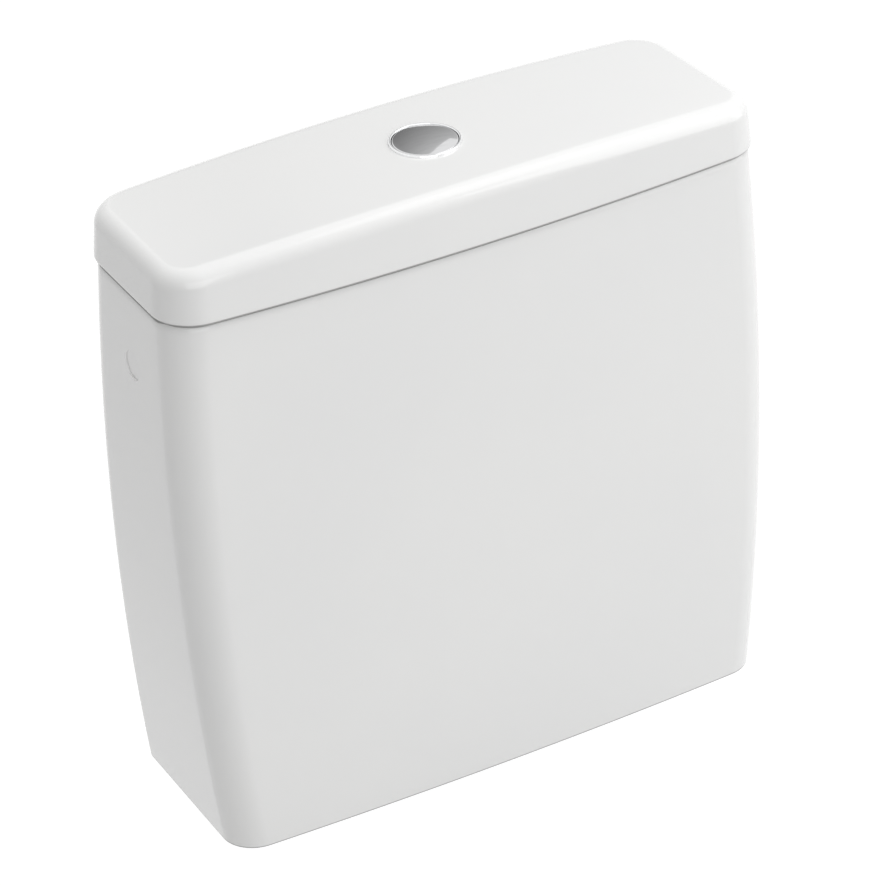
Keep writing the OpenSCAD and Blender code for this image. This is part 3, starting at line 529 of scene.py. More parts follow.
class Form:
    """A mesh on its way to a finished piece."""

    def __init__(self) -> None:
        """Start with an empty mesh."""
        self.mesh = bmesh.new()

    def line(self, points: Sequence[Vector], closed: bool) -> list[BMVert]:
        """Lay vertices along a line and join them.

        Args:
            points: The places of the vertices.
            closed: Whether the last one is joined to the first.

        Returns:
            The vertices in order.
        """
        verts = [self.mesh.verts.new(place) for place in points]
        for first, second in zip(verts, verts[1:] + (verts[:1] if closed else [])):
            self.mesh.edges.new((first, second))
        return verts

    def loop_edges(self, loop: Sequence[BMVert]) -> list[BMEdge]:
        """The edges round a closed loop of vertices."""
        return [self.mesh.edges.get(pair) for pair in zip(loop, [*loop[1:], loop[0]])]

    def carry(self, loop: Sequence[BMVert], points: Sequence[Vector]) -> list[BMVert]:
        """Extrude a closed loop to new places.

        Args:
            loop: The loop's vertices in order.
            points: A new place for each of them.

        Returns:
            The new loop's vertices in the same order.
        """
        made = bmesh.ops.extrude_edge_only(self.mesh, edges=self.loop_edges(loop))["geom"]
        old = set(loop)
        partner: dict[BMVert, BMVert] = {}
        for vert in (item for item in made if isinstance(item, BMVert)):
            for edge in vert.link_edges:
                if edge.other_vert(vert) in old:
                    partner[edge.other_vert(vert)] = vert
        for vert, place in zip(loop, points):
            partner[vert].co = place
        return [partner[vert] for vert in loop]

    def closed_skin(self, rings: Sequence[Sequence[Vector]]) -> None:
        """Draw a skin through rings that come round to the first one again."""
        first = self.line(rings[0], closed=True)
        loop = first
        for ring in rings[1:]:
            loop = self.carry(loop, ring)
        bmesh.ops.bridge_loops(self.mesh, edges=self.loop_edges(first) + self.loop_edges(loop))
        self.settle()

    def lathe(self, profile: Profile, centre: Pair = (0.0, 0.0), steps: int = 96) -> None:
        """Turn a closed profile round an upright axis.

        Args:
            profile: Radius and height of each point.
            centre: Where the axis stands.
            steps: Steps round the axis.
        """
        verts = self.line([Vector((centre[0] + r, centre[1], z)) for r, z in profile], closed=True)
        bmesh.ops.spin(
            self.mesh,
            geom=[*verts, *self.loop_edges(verts)],
            cent=(*centre, 0.0),
            axis=UPRIGHT,
            dvec=(0.0, 0.0, 0.0),
            angle=math.tau,
            steps=steps,
            use_merge=True,
        )
        self.settle()

    def coil(
        self, section: Profile, turns: float, pitch: float, steps: int, centre: Pair = (0.0, 0.0)
    ) -> None:
        """Wind a closed section round an upright axis.

        Args:
            section: Radius and height of each point of the section at the start.
            turns: Number of turns.
            pitch: Rise of each turn.
            steps: Steps to a turn.
            centre: Where the axis stands.
        """
        verts = self.line([Vector((centre[0] + r, centre[1], z)) for r, z in section], closed=True)
        bmesh.ops.spin(
            self.mesh,
            geom=[*verts, *self.loop_edges(verts)],
            cent=(*centre, 0.0),
            axis=UPRIGHT,
            dvec=(0.0, 0.0, pitch / steps),
            angle=math.tau * turns,
            steps=round(turns * steps),
            use_merge=False,
        )
        ends = [edge for edge in self.mesh.edges if edge.is_boundary]
        bmesh.ops.holes_fill(self.mesh, edges=ends, sides=0)
        self.settle()

    def settle(self) -> None:
        """Merge doubled vertices and point all faces outwards."""
        bmesh.ops.remove_doubles(self.mesh, verts=self.mesh.verts[:], dist=MERGE_REACH)
        bmesh.ops.dissolve_degenerate(self.mesh, dist=SLIVER_REACH, edges=self.mesh.edges[:])
        bmesh.ops.recalc_face_normals(self.mesh, faces=self.mesh.faces[:])

    def soften(
        self, radius: float, steps: int = 3, angle: float = 40.0,
        where: Callable[[BMEdge], bool] = lambda edge: True,
    ) -> None:
        """Round the sharp edges.

        Args:
            radius: How far the rounding reaches from each edge.
            steps: Faces across the rounding.
            angle: Least angle between the faces of a sharp edge, in degrees.
            where: Which of the sharp edges are rounded.
        """
        least = math.radians(angle)
        sharp = [edge for edge in self.mesh.edges if edge.calc_face_angle(0.0) > least and where(edge)]
        bmesh.ops.bevel(
            self.mesh,
            geom=sharp,
            offset=radius,
            offset_type="OFFSET",
            affect="EDGES",
            segments=steps,
            profile=0.5,
            material=-1,
            clamp_overlap=True,
        )

    def join(self, other: Form) -> None:
        """Take in another form's mesh as a shell of its own."""
        spare = bpy.data.meshes.new("joined")
        other.mesh.to_mesh(spare)
        other.mesh.free()
        self.mesh.from_mesh(spare)
        bpy.data.meshes.remove(spare)

    def loose(self, name: str) -> bpy.types.Object:
        """Turn the form into an object at the origin."""
        data = bpy.data.meshes.new(name)
        self.mesh.to_mesh(data)
        self.mesh.free()
        made = bpy.data.objects.new(name, data)
        bpy.context.scene.collection.objects.link(made)
        return made


def place_piece(
    piece: bpy.types.Object, finish: Finish, body: Body, nodes: Sequence[str], crease: float = 32.0
) -> bpy.types.Object:
    """Give a finished piece its shading, finish, body and the nodes that it stands for.

    Args:
        piece: The piece, at the origin.
        finish: Its finish.
        body: The body that it rides on.
        nodes: CAD nodes that it replaces.
        crease: Angle in degrees above which an edge stays sharp.

    Returns:
        The piece.
    """
    piece.data.materials.clear()
    piece.data.materials.append(finish.material())
    piece.data.shade_smooth()
    piece.data.set_sharp_from_angle(angle=math.radians(crease))
    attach(piece, body.value)
    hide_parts(*nodes)
    LOG.info("%s: %d faces, rides on %s", piece.name, len(piece.data.polygons), body.value)
    return piece


def weigh_normals(piece: bpy.types.Object) -> None:
    """Let the large faces of a piece decide its shading, so that flats stay flat beside roundings."""
    weights = piece.modifiers.new("face_weights", "WEIGHTED_NORMAL")
    weights.keep_sharp = True


def carve(piece: bpy.types.Object, cutters: Sequence[bpy.types.Object]) -> None:
    """Cut shapes out of a piece and delete the cutters.

    Args:
        piece: The piece, whose mesh is replaced.
        cutters: Closed shapes.
    """
    for cutter in cutters:
        cut = piece.modifiers.new("cut", "BOOLEAN")
        cut.operation = "DIFFERENCE"
        cut.solver = "EXACT"
        cut.object = cutter
    state = bpy.context.evaluated_depsgraph_get()
    old = piece.data
    piece.data = bpy.data.meshes.new_from_object(piece.evaluated_get(state))
    piece.data.name = piece.name
    piece.modifiers.clear()
    bpy.data.meshes.remove(old)
    for cutter in cutters:
        data = cutter.data
        bpy.data.objects.remove(cutter)
        bpy.data.meshes.remove(data)


def steps_of(count: int) -> list[float]:
    """Shares from 0 to 1 in equal steps, both ends included."""
    return [step / count for step in range(count + 1)]


def quarter(count: int) -> list[Pair]:
    """Sine and cosine at equal steps of a quarter turn, both ends included."""
    turns = [math.pi / 2 * share for share in steps_of(count)]
    return [(math.sin(turn), math.cos(turn)) for turn in turns]


@dataclass(frozen=True)
class Plan:
    """The cistern's outline in plan: round corners, a bowed front and sides that flare to the front.

    Widths and depths are given at the base, the middle and the top, and pairs at the base and the top.
    """

    height: float = 0.350
    widths: Triple = (0.355, 0.3814, 0.376)
    depths: Triple = (0.1234, 0.1215, 0.1165)
    bows: Pair = (0.0047, 0.0089)
    front_radii: Pair = (0.020, 0.022)
    back_radii: Pair = (0.005, 0.0244)
    flare: float = 0.0034
    back: float = 0.062
    inner_radius: float = 0.008
    least_radius: float = 0.001
    foot_radius: float = 0.0012
    corner_steps: int = 12
    front_steps: int = 56
    back_steps: int = 40
    side_steps: int = 10

    def through(self, z: float, values: Triple) -> float:
        """Value at a height of a parabola through its values at the base, the middle and the top."""
        t = z / self.height
        base, middle, top = values
        return base * (1 - t) * (1 - 2 * t) + middle * 4 * t * (1 - t) + top * t * (2 * t - 1)

    def rising(self, z: float, values: Pair) -> float:
        """Value at a height on the line between its values at the base and the top."""
        return values[0] + (values[1] - values[0]) * z / self.height

    def side_reach(self, z: float) -> float:
        """Half the outside width at a height, level with the outlet's axis."""
        return self.through(z, self.widths) / 2 + self.flare * self.back / self.through(z, self.depths)

    def outline(self, z: float, inset: float) -> list[Pair]:
        """The outline at a height, moved in.

        Args:
            z: Height above the base.
            inset: How far the outline is moved in.

        Returns:
            Its points, from the front left corner round by the front.
        """
        half = self.through(z, self.widths) / 2 - inset
        back = self.back - inset
        front = self.back - self.through(z, self.depths) + inset
        least_front = self.inner_radius if inset > 0 else self.least_radius
        least_back = self.inner_radius if inset > self.foot_radius else self.least_radius
        front_r = max(self.rising(z, self.front_radii) - inset, least_front)
        back_r = max(self.rising(z, self.back_radii) - inset, least_back)
        corners = (
            (-half + front_r, front + front_r, front_r, 180, self.front_steps),
            (half - front_r, front + front_r, front_r, 270, self.side_steps),
            (half - back_r, back - back_r, back_r, 0, self.back_steps),
            (-half + back_r, back - back_r, back_r, 90, self.side_steps),
        )
        flat: list[Pair] = []
        for index, (x, y, radius, start, run) in enumerate(corners):
            for share in steps_of(self.corner_steps):
                angle = math.radians(start + 90 * share)
                flat.append((x + radius * math.cos(angle), y + radius * math.sin(angle)))
            x2, y2, radius2, start2, _ = corners[(index + 1) % 4]
            angle = math.radians(start2)
            ahead_x, ahead_y = x2 + radius2 * math.cos(angle), y2 + radius2 * math.sin(angle)
            last_x, last_y = flat[-1]
            for share in steps_of(run)[1:-1]:
                flat.append((last_x + (ahead_x - last_x) * share, last_y + (ahead_y - last_y) * share))
        bow = self.rising(z, self.bows)
        warped = []
        for x, y in flat:
            forward = (back - y) / (back - front)
            side = x / half
            warped.append((x + side * self.flare * forward, y - bow * (1 - side * side) * forward))
        return warped

    def ring(self, z: float, inset: float, level: float) -> list[Vector]:
        """The outline of one height, moved in, as a ring at a level."""
        return [Vector((x, y, level)) for x, y in self.outline(z, inset)]

    def round_ring(self, z: float, inset: float, radius: float, level: float) -> list[Vector]:
        """A circle round the outlet's axis, with as many points in the same directions as an outline."""
        points = [Vector((x, y)).normalized() * radius for x, y in self.outline(z, inset)]
        return [Vector((point.x, point.y, level)) for point in points]


@dataclass
class Tank:
    """The china tank, with the holes in its floor and a round inlet mark on each side."""

    plan: Plan
    wall: float = 0.010
    floor: float = 0.012
    rim_height: float = 0.0055
    rim_lean: float = 0.0022
    rim_inner_radius: float = 0.002
    cove: float = 0.008
    outlet_radius: float = 0.032
    bolt_hole_radius: float = 0.007
    bolt_places: tuple[Pair, ...] = ((-0.075, 0.0), (0.075, 0.0))
    inlet_hole_radius: float = 0.0095
    inlet_place: Pair = (0.118, 0.006)
    mark_radius: float = 0.009
    mark_depth: float = 0.0008
    mark_drop: float = 0.045
    mark_cove: float = 0.0003
    mark_edge: float = 0.0002
    mark_room: float = 0.02
    drill_past: float = 0.004
    punch_past: float = 0.002
    drill_steps: int = 48
    punch_steps: int = 64
    sole_shares: tuple[float, ...] = (0.0, 0.3, 0.6, 0.9)
    floor_shares: tuple[float, ...] = (0.3, 0.65, 1.0)
    foot_steps: int = 4
    side_steps: int = 54
    rim_steps: int = 8
    rim_inner_steps: int = 4
    inside_steps: int = 36
    cove_steps: int = 6

    @property
    def mark_level(self) -> float:
        """Height of the middle of the inlet marks."""
        return self.plan.height - self.mark_drop

    def rings(self) -> list[list[Vector]]:
        """Rings of the skin, from the outlet's hole under the base round to the hole in the floor."""
        plan, wall, top = self.plan, self.wall, self.plan.height
        foot, rim, inner, cove = plan.foot_radius, self.rim_height, self.rim_inner_radius, self.cove
        cove_top = self.floor + cove
        hole = plan.round_ring(0.0, foot, self.outlet_radius, 0.0)
        sole = plan.ring(0.0, foot, 0.0)
        rings = [[near.lerp(far, share) for near, far in zip(hole, sole)] for share in self.sole_shares]
        rings += [plan.ring(0.0, foot * (1 - s), foot * (1 - c)) for s, c in quarter(self.foot_steps)]
        side = top - rim - foot
        levels = [foot + side * t for t in steps_of(self.side_steps)[1:]]
        rings += [plan.ring(level, 0.0, level) for level in levels]
        for s, c in quarter(self.rim_steps)[1:]:
            level = top - rim * (1 - s)
            rings.append(plan.ring(level, self.rim_lean * (1 - c), level))
        for s, c in quarter(self.rim_inner_steps):
            level = top - inner * (1 - c)
            rings.append(plan.ring(level, wall - inner * (1 - s), level))
        inside = top - inner - cove_top
        levels = [cove_top + inside * (1 - t) for t in steps_of(self.inside_steps)[1:]]
        rings += [plan.ring(level, wall, level) for level in levels]
        for s, c in quarter(self.cove_steps)[1:]:
            level = cove_top - cove * s
            rings.append(plan.ring(level, wall + cove * (1 - c), level))
        drain = plan.round_ring(self.floor, wall + cove, self.outlet_radius, self.floor)
        edge = rings[-1]
        rings += [[far.lerp(near, share) for far, near in zip(edge, drain)] for share in self.floor_shares]
        return rings

    def cutters(self) -> list[bpy.types.Object]:
        """Shapes of the bolt holes, the inlet hole and the two inlet marks."""
        made = []
        low, high = -self.drill_past, self.floor + self.drill_past
        holes = [(x, y, self.bolt_hole_radius) for x, y in self.bolt_places]
        holes.append((*self.inlet_place, self.inlet_hole_radius))
        for x, y, radius in holes:
            drill = Form()
            drill.lathe(((0.0, low), (radius, low), (radius, high), (0.0, high)), (x, y), self.drill_steps)
            made.append(drill.loose("drill"))
        return made + [self.mark_cutter(side) for side in (-1, 1)]

    def mark_cutter(self, side: int) -> bpy.types.Object:
        """Shape of one inlet mark: a shallow round recess with a soft edge on its floor.

        Args:
            side: -1 for the left side, 1 for the right side.

        Returns:
            The cutter.
        """
        reach, depth, out, level = self.mark_radius, self.mark_depth, self.punch_past, self.mark_level
        punch = Form()
        punch.lathe(((0.0, -depth), (reach, -depth), (reach, out), (0.0, out)), steps=self.punch_steps)
        punch.soften(self.mark_cove, where=lambda edge: max(vert.co.z for vert in edge.verts) < 0.0)
        turn = Matrix.Rotation(side * math.pi / 2, 4, "Y")
        shift = Matrix.Translation((side * self.plan.side_reach(level), 0.0, level))
        bmesh.ops.transform(punch.mesh, matrix=shift @ turn, verts=punch.mesh.verts[:])
        return punch.loose("punch")

    def build(self) -> bpy.types.Object:
        """Make the tank.

        Returns:
            The finished piece.
        """
        form = Form()
        form.closed_skin(self.rings())
        piece = form.loose("china_tank")
        carve(piece, self.cutters())
        edges = Form()
        edges.mesh.from_mesh(piece.data)
        level, room = self.mark_level, self.mark_room
        edges.soften(
            self.mark_edge, steps=2, angle=50.0,
            where=lambda edge: all(abs(vert.co.z - level) < room for vert in edge.verts),
        )
        edges.mesh.to_mesh(piece.data)
        edges.mesh.free()
        place_piece(piece, CHINA, Body.CISTERN, ["tank"])
        weigh_normals(piece)
        return piece


@dataclass
class Lid:
    """The china lid, crowned along its length."""

    plan: Plan
    overhang: float = 0.002
    seam_gap: float = 0.0012
    rest_inset: float = 0.0032
    height: float = 0.0313
    crown: float = 0.0072
    edge_radius: float = 0.0104
    draft: float = 0.0016
    thickness: float = 0.009
    lip_height: float = 0.008
    lip_thickness: float = 0.008
    lip_inset: float = 0.0125
    cove: float = 0.008
    foot_in: float = 0.0015
    foot_height: float = 0.0025
    hole_radius: float = 0.02035
    seat_radius: float = 0.02095
    nut_radius: float = 0.0289
    seat_cut: float = 0.0003
    seat_draft: float = 0.0001
    lip_edge: float = 0.0012
    lip_edge_drop: float = 0.004
    top_shares: tuple[float, ...] = (0.04, 0.12, 0.22, 0.34, 0.46, 0.58, 0.7, 0.8, 0.88, 0.94)
    cove_steps: int = 6
    foot_steps: int = 5
    side_steps: int = 8
    edge_steps: int = 14

    @property
    def top(self) -> float:
        """Height of the top at the lid's ends."""
        return self.plan.height + self.height

    @property
    def ceiling(self) -> float:
        """Height of the underside at the lid's ends."""
        return self.top - self.thickness

    @property
    def ring_seat(self) -> float:
        """Height of the flat that the button's ring sits on."""
        return self.top + self.crown - self.seat_cut

    @property
    def nut_seat(self) -> float:
        """Height of the flat that the button's nut meets."""
        return self.ceiling + self.crown + self.seat_cut

    def rise(self, x: float) -> float:
        """How much higher the lid is at x than at its ends."""
        half = self.plan.widths[2] / 2 + self.overhang
        return self.crown * (1 - (x / half) ** 2)

    def crowned(self, points: Sequence[Vector]) -> list[Vector]:
        """A ring lifted to follow the crown."""
        return [Vector((point.x, point.y, point.z + self.rise(point.x))) for point in points]

    def drawn_in(
        self, inset: float, radius: float, level: float, shares: Sequence[float]
    ) -> list[list[Vector]]:
        """Crowned rings between an outline and a circle round the button.

        Args:
            inset: How far the outline is moved in.
            radius: The circle's radius.
            level: Height at the lid's ends.
            shares: Places of the rings from the circle, 0, to the outline, 1.

        Returns:
            The rings.
        """
        seam = self.plan.height
        circle = self.plan.round_ring(seam, inset, radius, level)
        outline = self.plan.ring(seam, inset, level)
        return [self.crowned([a.lerp(b, share) for a, b in zip(circle, outline)]) for share in shares]

    def rings(self) -> list[list[Vector]]:
        """Rings of the skin, from the hole's foot over the underside, lip, sides and top to the hole."""
        plan, seam = self.plan, self.plan.height
        lip_in = self.lip_inset + self.lip_thickness
        side = self.draft - self.overhang
        shares = self.top_shares
        rings = [plan.round_ring(seam, lip_in, self.hole_radius, self.nut_seat)]
        rings.append(plan.round_ring(seam, lip_in, self.nut_radius, self.nut_seat))
        nut_edge = self.nut_radius + self.seat_draft
        rings += self.drawn_in(lip_in + self.cove, nut_edge, self.ceiling, [0.0, *shares, 1.0])
        for s, c in quarter(self.cove_steps)[1:]:
            inset, level = lip_in + self.cove * (1 - s), self.ceiling - self.cove * (1 - c)
            rings.append(self.crowned(plan.ring(seam, inset, level)))
        foot = seam - self.lip_height
        rings += [plan.ring(seam, lip_in, foot), plan.ring(seam, self.lip_inset, foot)]
        edge = seam + self.seam_gap
        rings += [plan.ring(seam, self.lip_inset, seam), plan.ring(seam, self.rest_inset, seam)]
        rings.append(plan.ring(seam, self.rest_inset, edge))
        rings += [
            plan.ring(seam, self.foot_in * (1 - s) - self.overhang, edge + self.foot_height * (1 - c))
            for s, c in quarter(self.foot_steps)
        ]
        low = rings[-1]
        high = self.crowned(plan.ring(seam, side, self.top - self.edge_radius))
        rings += [[a.lerp(b, share) for a, b in zip(low, high)] for share in steps_of(self.side_steps)[1:]]
        edge = self.edge_radius
        rings += [
            self.crowned(plan.ring(seam, side + edge * (1 - c), self.top - edge * (1 - s)))
            for s, c in quarter(self.edge_steps)[1:]
        ]
        rings += self.drawn_in(side + edge, self.seat_radius, self.top, [*reversed(shares), 0.0])
        rings.append(plan.round_ring(seam, lip_in, self.seat_radius - self.seat_draft, self.ring_seat))
        rings.append(plan.round_ring(seam, lip_in, self.hole_radius, self.ring_seat))
        return rings

    def build(self) -> bpy.types.Object:
        """Make the lid.

        Returns:
            The finished piece.
        """
        form = Form()
        form.closed_skin(self.rings())
        below = self.plan.height - self.lip_edge_drop
        form.soften(
            self.lip_edge, angle=50.0, where=lambda edge: max(vert.co.z for vert in edge.verts) < below
        )
        piece = place_piece(form.loose("china_lid"), CHINA, Body.COVER, ["lid"])
        weigh_normals(piece)
        return piece


@dataclass
class PushButton:
    """The chromed ring, the domed button in it and the return spring under it."""

    seat: float
    ring_radius: float = 0.0209
    ring_height: float = 0.0018
    sleeve_radius: float = 0.0202
    sleeve_inner: float = 0.0194
    sleeve_length: float = 0.024
    web: float = 0.0025
    cap_radius: float = 0.0191
    drop: float = 0.0004
    thickness: float = 0.0022
    dome: float = 0.0012
    skirt: float = 0.006
    skirt_wall: float = 0.0014
    stem_radius: float = 0.0044
    stem_foot: float = 0.3501
    slide: float = 0.0004
    travel: float = 0.010
    wire: float = 0.0012
    spring_radius: float = 0.010
    spring_turns: float = 5.5
    spring_gap: float = 0.0001
    ring_edge: float = 0.0007
    cap_edge: float = 0.0008
    turn_steps: int = 144
    cap_edge_steps: int = 5
    dome_steps: int = 12
    wire_steps: int = 12
    coil_steps: int = 36

    @property
    def web_top(self) -> float:
        """Height of the web that the spring stands on."""
        return self.seat - self.sleeve_length + self.web

    @property
    def disc_top(self) -> float:
        """Height of the button's edge."""
        return self.seat + self.ring_height - self.drop

    def ring(self) -> bpy.types.Object:
        """Make the chromed ring with its sleeve and web."""
        foot, top = self.seat - self.sleeve_length, self.seat + self.ring_height
        bore = self.stem_radius + self.slide
        form = Form()
        form.lathe(
            (
                (bore, foot), (self.sleeve_radius, foot), (self.sleeve_radius, self.seat),
                (self.ring_radius, self.seat), (self.ring_radius, top), (self.sleeve_inner, top),
                (self.sleeve_inner, self.web_top), (bore, self.web_top),
            ),
            steps=self.turn_steps,
        )
        near = top - MERGE_REACH
        form.soften(
            self.ring_edge, steps=5, where=lambda edge: min(vert.co.z for vert in edge.verts) > near
        )
        return place_piece(form.loose("button_ring"), CHROME, Body.COVER, ["button_bezel"])

    def face(self) -> bpy.types.Object:
        """Make the domed button with its skirt and stem."""
        top, under = self.disc_top, self.disc_top - self.thickness
        edge = self.cap_edge
        rim = [
            (self.cap_radius - edge * (1 - c), top - edge * (1 - s)) for s, c in quarter(self.cap_edge_steps)
        ]
        reach = rim[-1][0]
        crown = [
            (reach * (1 - share), top + self.dome * (1 - (1 - share) ** 2))
            for share in steps_of(self.dome_steps)[1:]
        ]
        inner = self.cap_radius - self.skirt_wall
        profile = [
            (0.0, self.stem_foot), (self.stem_radius, self.stem_foot), (self.stem_radius, under),
            (inner, under), (inner, under - self.skirt), (self.cap_radius, under - self.skirt), *rim, *crown,
        ]
        form = Form()
        form.lathe(profile, steps=self.turn_steps)
        return place_piece(form.loose("button_face"), SATIN, Body.BUTTON, ["button_cap"])

    def spring(self) -> bpy.types.Object:
        """Make the return spring."""
        half = self.wire / 2
        gap = half + self.spring_gap
        low, high = self.web_top + gap, self.disc_top - self.thickness - gap
        turns = [math.tau * share for share in steps_of(self.wire_steps)[:-1]]
        section = [
            (self.spring_radius + half * math.cos(turn), low + half * math.sin(turn)) for turn in turns
        ]
        form = Form()
        form.coil(section, self.spring_turns, (high - low) / self.spring_turns, self.coil_steps)
        piece = place_piece(form.loose("return_spring"), STEEL, Body.COVER, ["button_spring"])
        room = self.disc_top - self.thickness - self.web_top
        (room - self.travel) / room
        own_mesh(piece)
        return piece

    def build(self) -> list[bpy.types.Object]:
        """Make the ring, the button and the spring."""
        return [self.ring(), self.face(), self.spring()]


@dataclass(frozen=True)
class Thread:
    """A screw thread wound on a plain core.

    Attributes:
        crest: Radius over the thread.
        depth: Height of the thread.
        pitch: Rise of each turn.
        foot_share: Half the width of its foot, as a share of the pitch.
        crest_share: Width of its crest, as a share of the width of its foot.
        lead: Plain length at the tip.
        run_out: Plain length at both ends together.
        steps: Steps to a turn.
        sunk: How far its foot reaches into the core.
    """

    crest: float
    depth: float
    pitch: float
    foot_share: float
    crest_share: float
    lead: float
    run_out: float
    steps: int
    sunk: float = 0.0002

    @property
    def root(self) -> float:
        """Radius of the core."""
        return self.crest - self.depth

    def wind(self, centre: Pair, tip: float, length: float) -> Form:
        """Wind the thread round an upright axis.

        Args:
            centre: Where the axis stands.
            tip: Height of the core's lower end.
            length: Length of the core.

        Returns:
            The thread's form.
        """
        half = self.pitch * self.foot_share
        flat, foot = half * self.crest_share, self.root - self.sunk
        start = tip + self.lead + half
        section = (
            (foot, start - half), (self.crest, start - flat),
            (self.crest, start + flat), (foot, start + half),
        )
        made = Form()
        turns = math.floor((length - self.run_out) / self.pitch)
        made.coil(section, turns, self.pitch, self.steps, centre)
        return made


@dataclass
class Coupling:
    """What shows under the base: the sponge ring, the two threaded bolts and the threaded inlet."""

    tail_radius: float = 0.0298
    tail_length: float = 0.015
    slide: float = 0.0004
    sponge_radius: float = 0.045
    sponge_taper: float = 0.0025
    sponge_edge: float = 0.003
    pocket_radius: float = 0.0394
    pocket_depth: float = 0.009
    sponge_round: float = 0.0011
    sponge_steps: int = 120
    bolt_places: Pair = (-0.075, 0.075)
    bolt_thread: Thread = Thread(
        crest=0.004, depth=0.0006, pitch=0.00125, foot_share=0.42, crest_share=0.2, lead=0.0012,
        run_out=0.0030, steps=24,
    )
    bolt_tip: float = 0.0008
    bolt_steps: int = 48
    shank_radius: float = 0.0036
    bolt_length: float = 0.040
    head_low: float = 0.0196
    head_height: float = 0.0053
    head_flats: float = 0.013
    head_edge: float = 0.0005
    inlet_place: Pair = (0.118, 0.006)
    inlet_thread: Thread = Thread(
        crest=0.00833, depth=0.0008, pitch=0.001337, foot_share=0.45, crest_share=0.15, lead=0.0010,
        run_out=0.0022, steps=36,
    )
    inlet_tip: float = 0.0006
    inlet_edge: float = 0.0002
    inlet_steps: int = 72
    inlet_bore: float = 0.005
    inlet_length: float = 0.038
    relief_radius: float = 0.00743
    relief_low: float = -0.0145
    relief_width: float = 0.002
    flange_radius: float = 0.017
    flange_low: float = 0.015
    flange_height: float = 0.004
    column_radius: float = 0.00853
    column_top: float = 0.198

    def sponge(self) -> bpy.types.Object:
        """Make the sponge ring round the tail."""
        bore = self.tail_radius + self.slide
        rim, foot = self.sponge_radius, self.sponge_radius - self.sponge_taper
        low, edge = -self.tail_length, self.sponge_edge
        form = Form()
        form.lathe(
            (
                (bore, low), (foot - edge, low), (foot, low + edge), (rim, -edge), (rim - edge, 0.0),
                (self.pocket_radius, 0.0), (self.pocket_radius, -self.pocket_depth),
                (bore, -self.pocket_depth),
            ),
            steps=self.sponge_steps,
        )
        form.soften(self.sponge_round, angle=25.0)
        return place_piece(form.loose("sponge_seal"), SPONGE, Body.CISTERN, ["sponge_ring"], crease=50.0)

    def bolt(self, name: str, x: float) -> bpy.types.Object:
        """Make one bolt with a hexagon head and a cut thread.

        Args:
            name: The CAD node that it replaces.
            x: Where its axis stands.

        Returns:
            The finished piece.
        """
        root, tip, blunt = self.bolt_thread.root, -self.bolt_length, self.bolt_tip
        form = Form()
        form.lathe(
            (
                (0.0, tip), (root - blunt, tip), (root, tip + blunt), (root, 0.0), (self.shank_radius, 0.0),
                (self.shank_radius, self.head_low), (0.0, self.head_low),
            ),
            (x, 0.0), self.bolt_steps,
        )
        form.join(self.bolt_thread.wind((x, 0.0), tip, self.bolt_length))
        head = Form()
        corner = self.head_flats / math.sqrt(3)
        place = Matrix.Translation((x, 0.0, self.head_low + self.head_height / 2))
        bmesh.ops.create_cone(
            head.mesh, cap_ends=True, segments=6, radius1=corner, radius2=corner, depth=self.head_height,
            matrix=place,
        )
        head.soften(self.head_edge)
        form.join(head)
        return place_piece(form.loose(f"threaded_{name}"), BRASS, Body.CISTERN, [name])

    def inlet(self) -> bpy.types.Object:
        """Make the fill valve's column with a pipe thread on its tail."""
        bore, crest, root = self.inlet_bore, self.inlet_thread.crest, self.inlet_thread.root
        tip, blunt = -self.inlet_length, self.inlet_tip
        relief, neck = self.relief_low, self.relief_low + self.relief_width
        flange, shelf = self.flange_low, self.flange_low + self.flange_height
        form = Form()
        form.lathe(
            (
                (bore, tip), (root - blunt, tip), (root, tip + blunt), (root, relief),
                (self.relief_radius, relief), (self.relief_radius, neck), (crest, neck), (crest, flange),
                (self.flange_radius, flange), (self.flange_radius, shelf), (self.column_radius, shelf),
                (self.column_radius, self.column_top), (bore, self.column_top),
            ),
            self.inlet_place, self.inlet_steps,
        )
        form.soften(self.inlet_edge, steps=2)
        form.join(self.inlet_thread.wind(self.inlet_place, tip, relief - tip))
        return place_piece(form.loose("threaded_inlet"), WHITE, Body.CISTERN, ["fill_column"])

    def build(self) -> list[bpy.types.Object]:
        """Make the sponge ring, both bolts and the inlet."""
        left, right = self.bolt_places
        return [self.sponge(), self.bolt("bolt_left", left), self.bolt("bolt_right", right), self.inlet()]


@dataclass
class Fittings:
    """The moulded, rubber and metal fittings that keep their CAD shapes."""

    nodes: dict[str, bpy.types.Object]
    finishes: dict[str, Finish] = field(
        default_factory=lambda: {
            **dict.fromkeys(
                ("bezel_nut", "push_rod", "valve_base", "valve_backnut", "valve_tower", "valve_bracket",
                 "tube_float", "inlet_locknut", "discharge_tube", "fill_head", "float_rod"),
                WHITE,
            ),
            **dict.fromkeys(
                ("lift_tube", "seal_clamp", "inlet_strainer", "fill_cap", "float_cup"), GREY
            ),
            **dict.fromkeys(("rocker", "lift_yoke", "float_lever", "rod_nut_lower", "rod_nut_upper"), BLUE),
            **dict.fromkeys(
                ("base_gasket", "flush_seal", "inlet_washer", "inlet_under_washer", "diaphragm",
                 "cone_washer_left", "cone_washer_right"),
                RUBBER,
            ),
            **dict.fromkeys(
                ("button_retainer", "rocker_pin", "lever_pin", "bolt_washer_left", "bolt_washer_right"), STEEL
            ),
        }
    )

    def dress(self) -> None:
        """Give every fitting its finish."""
        for name, finish in self.finishes.items():
            node = self.nodes[name]
            material = finish.material()
            if not node.material_slots:
                node.data.materials.append(material)
            for slot in node.material_slots:
                slot.material = material
            LOG.info("%s: %s", name, finish.name)


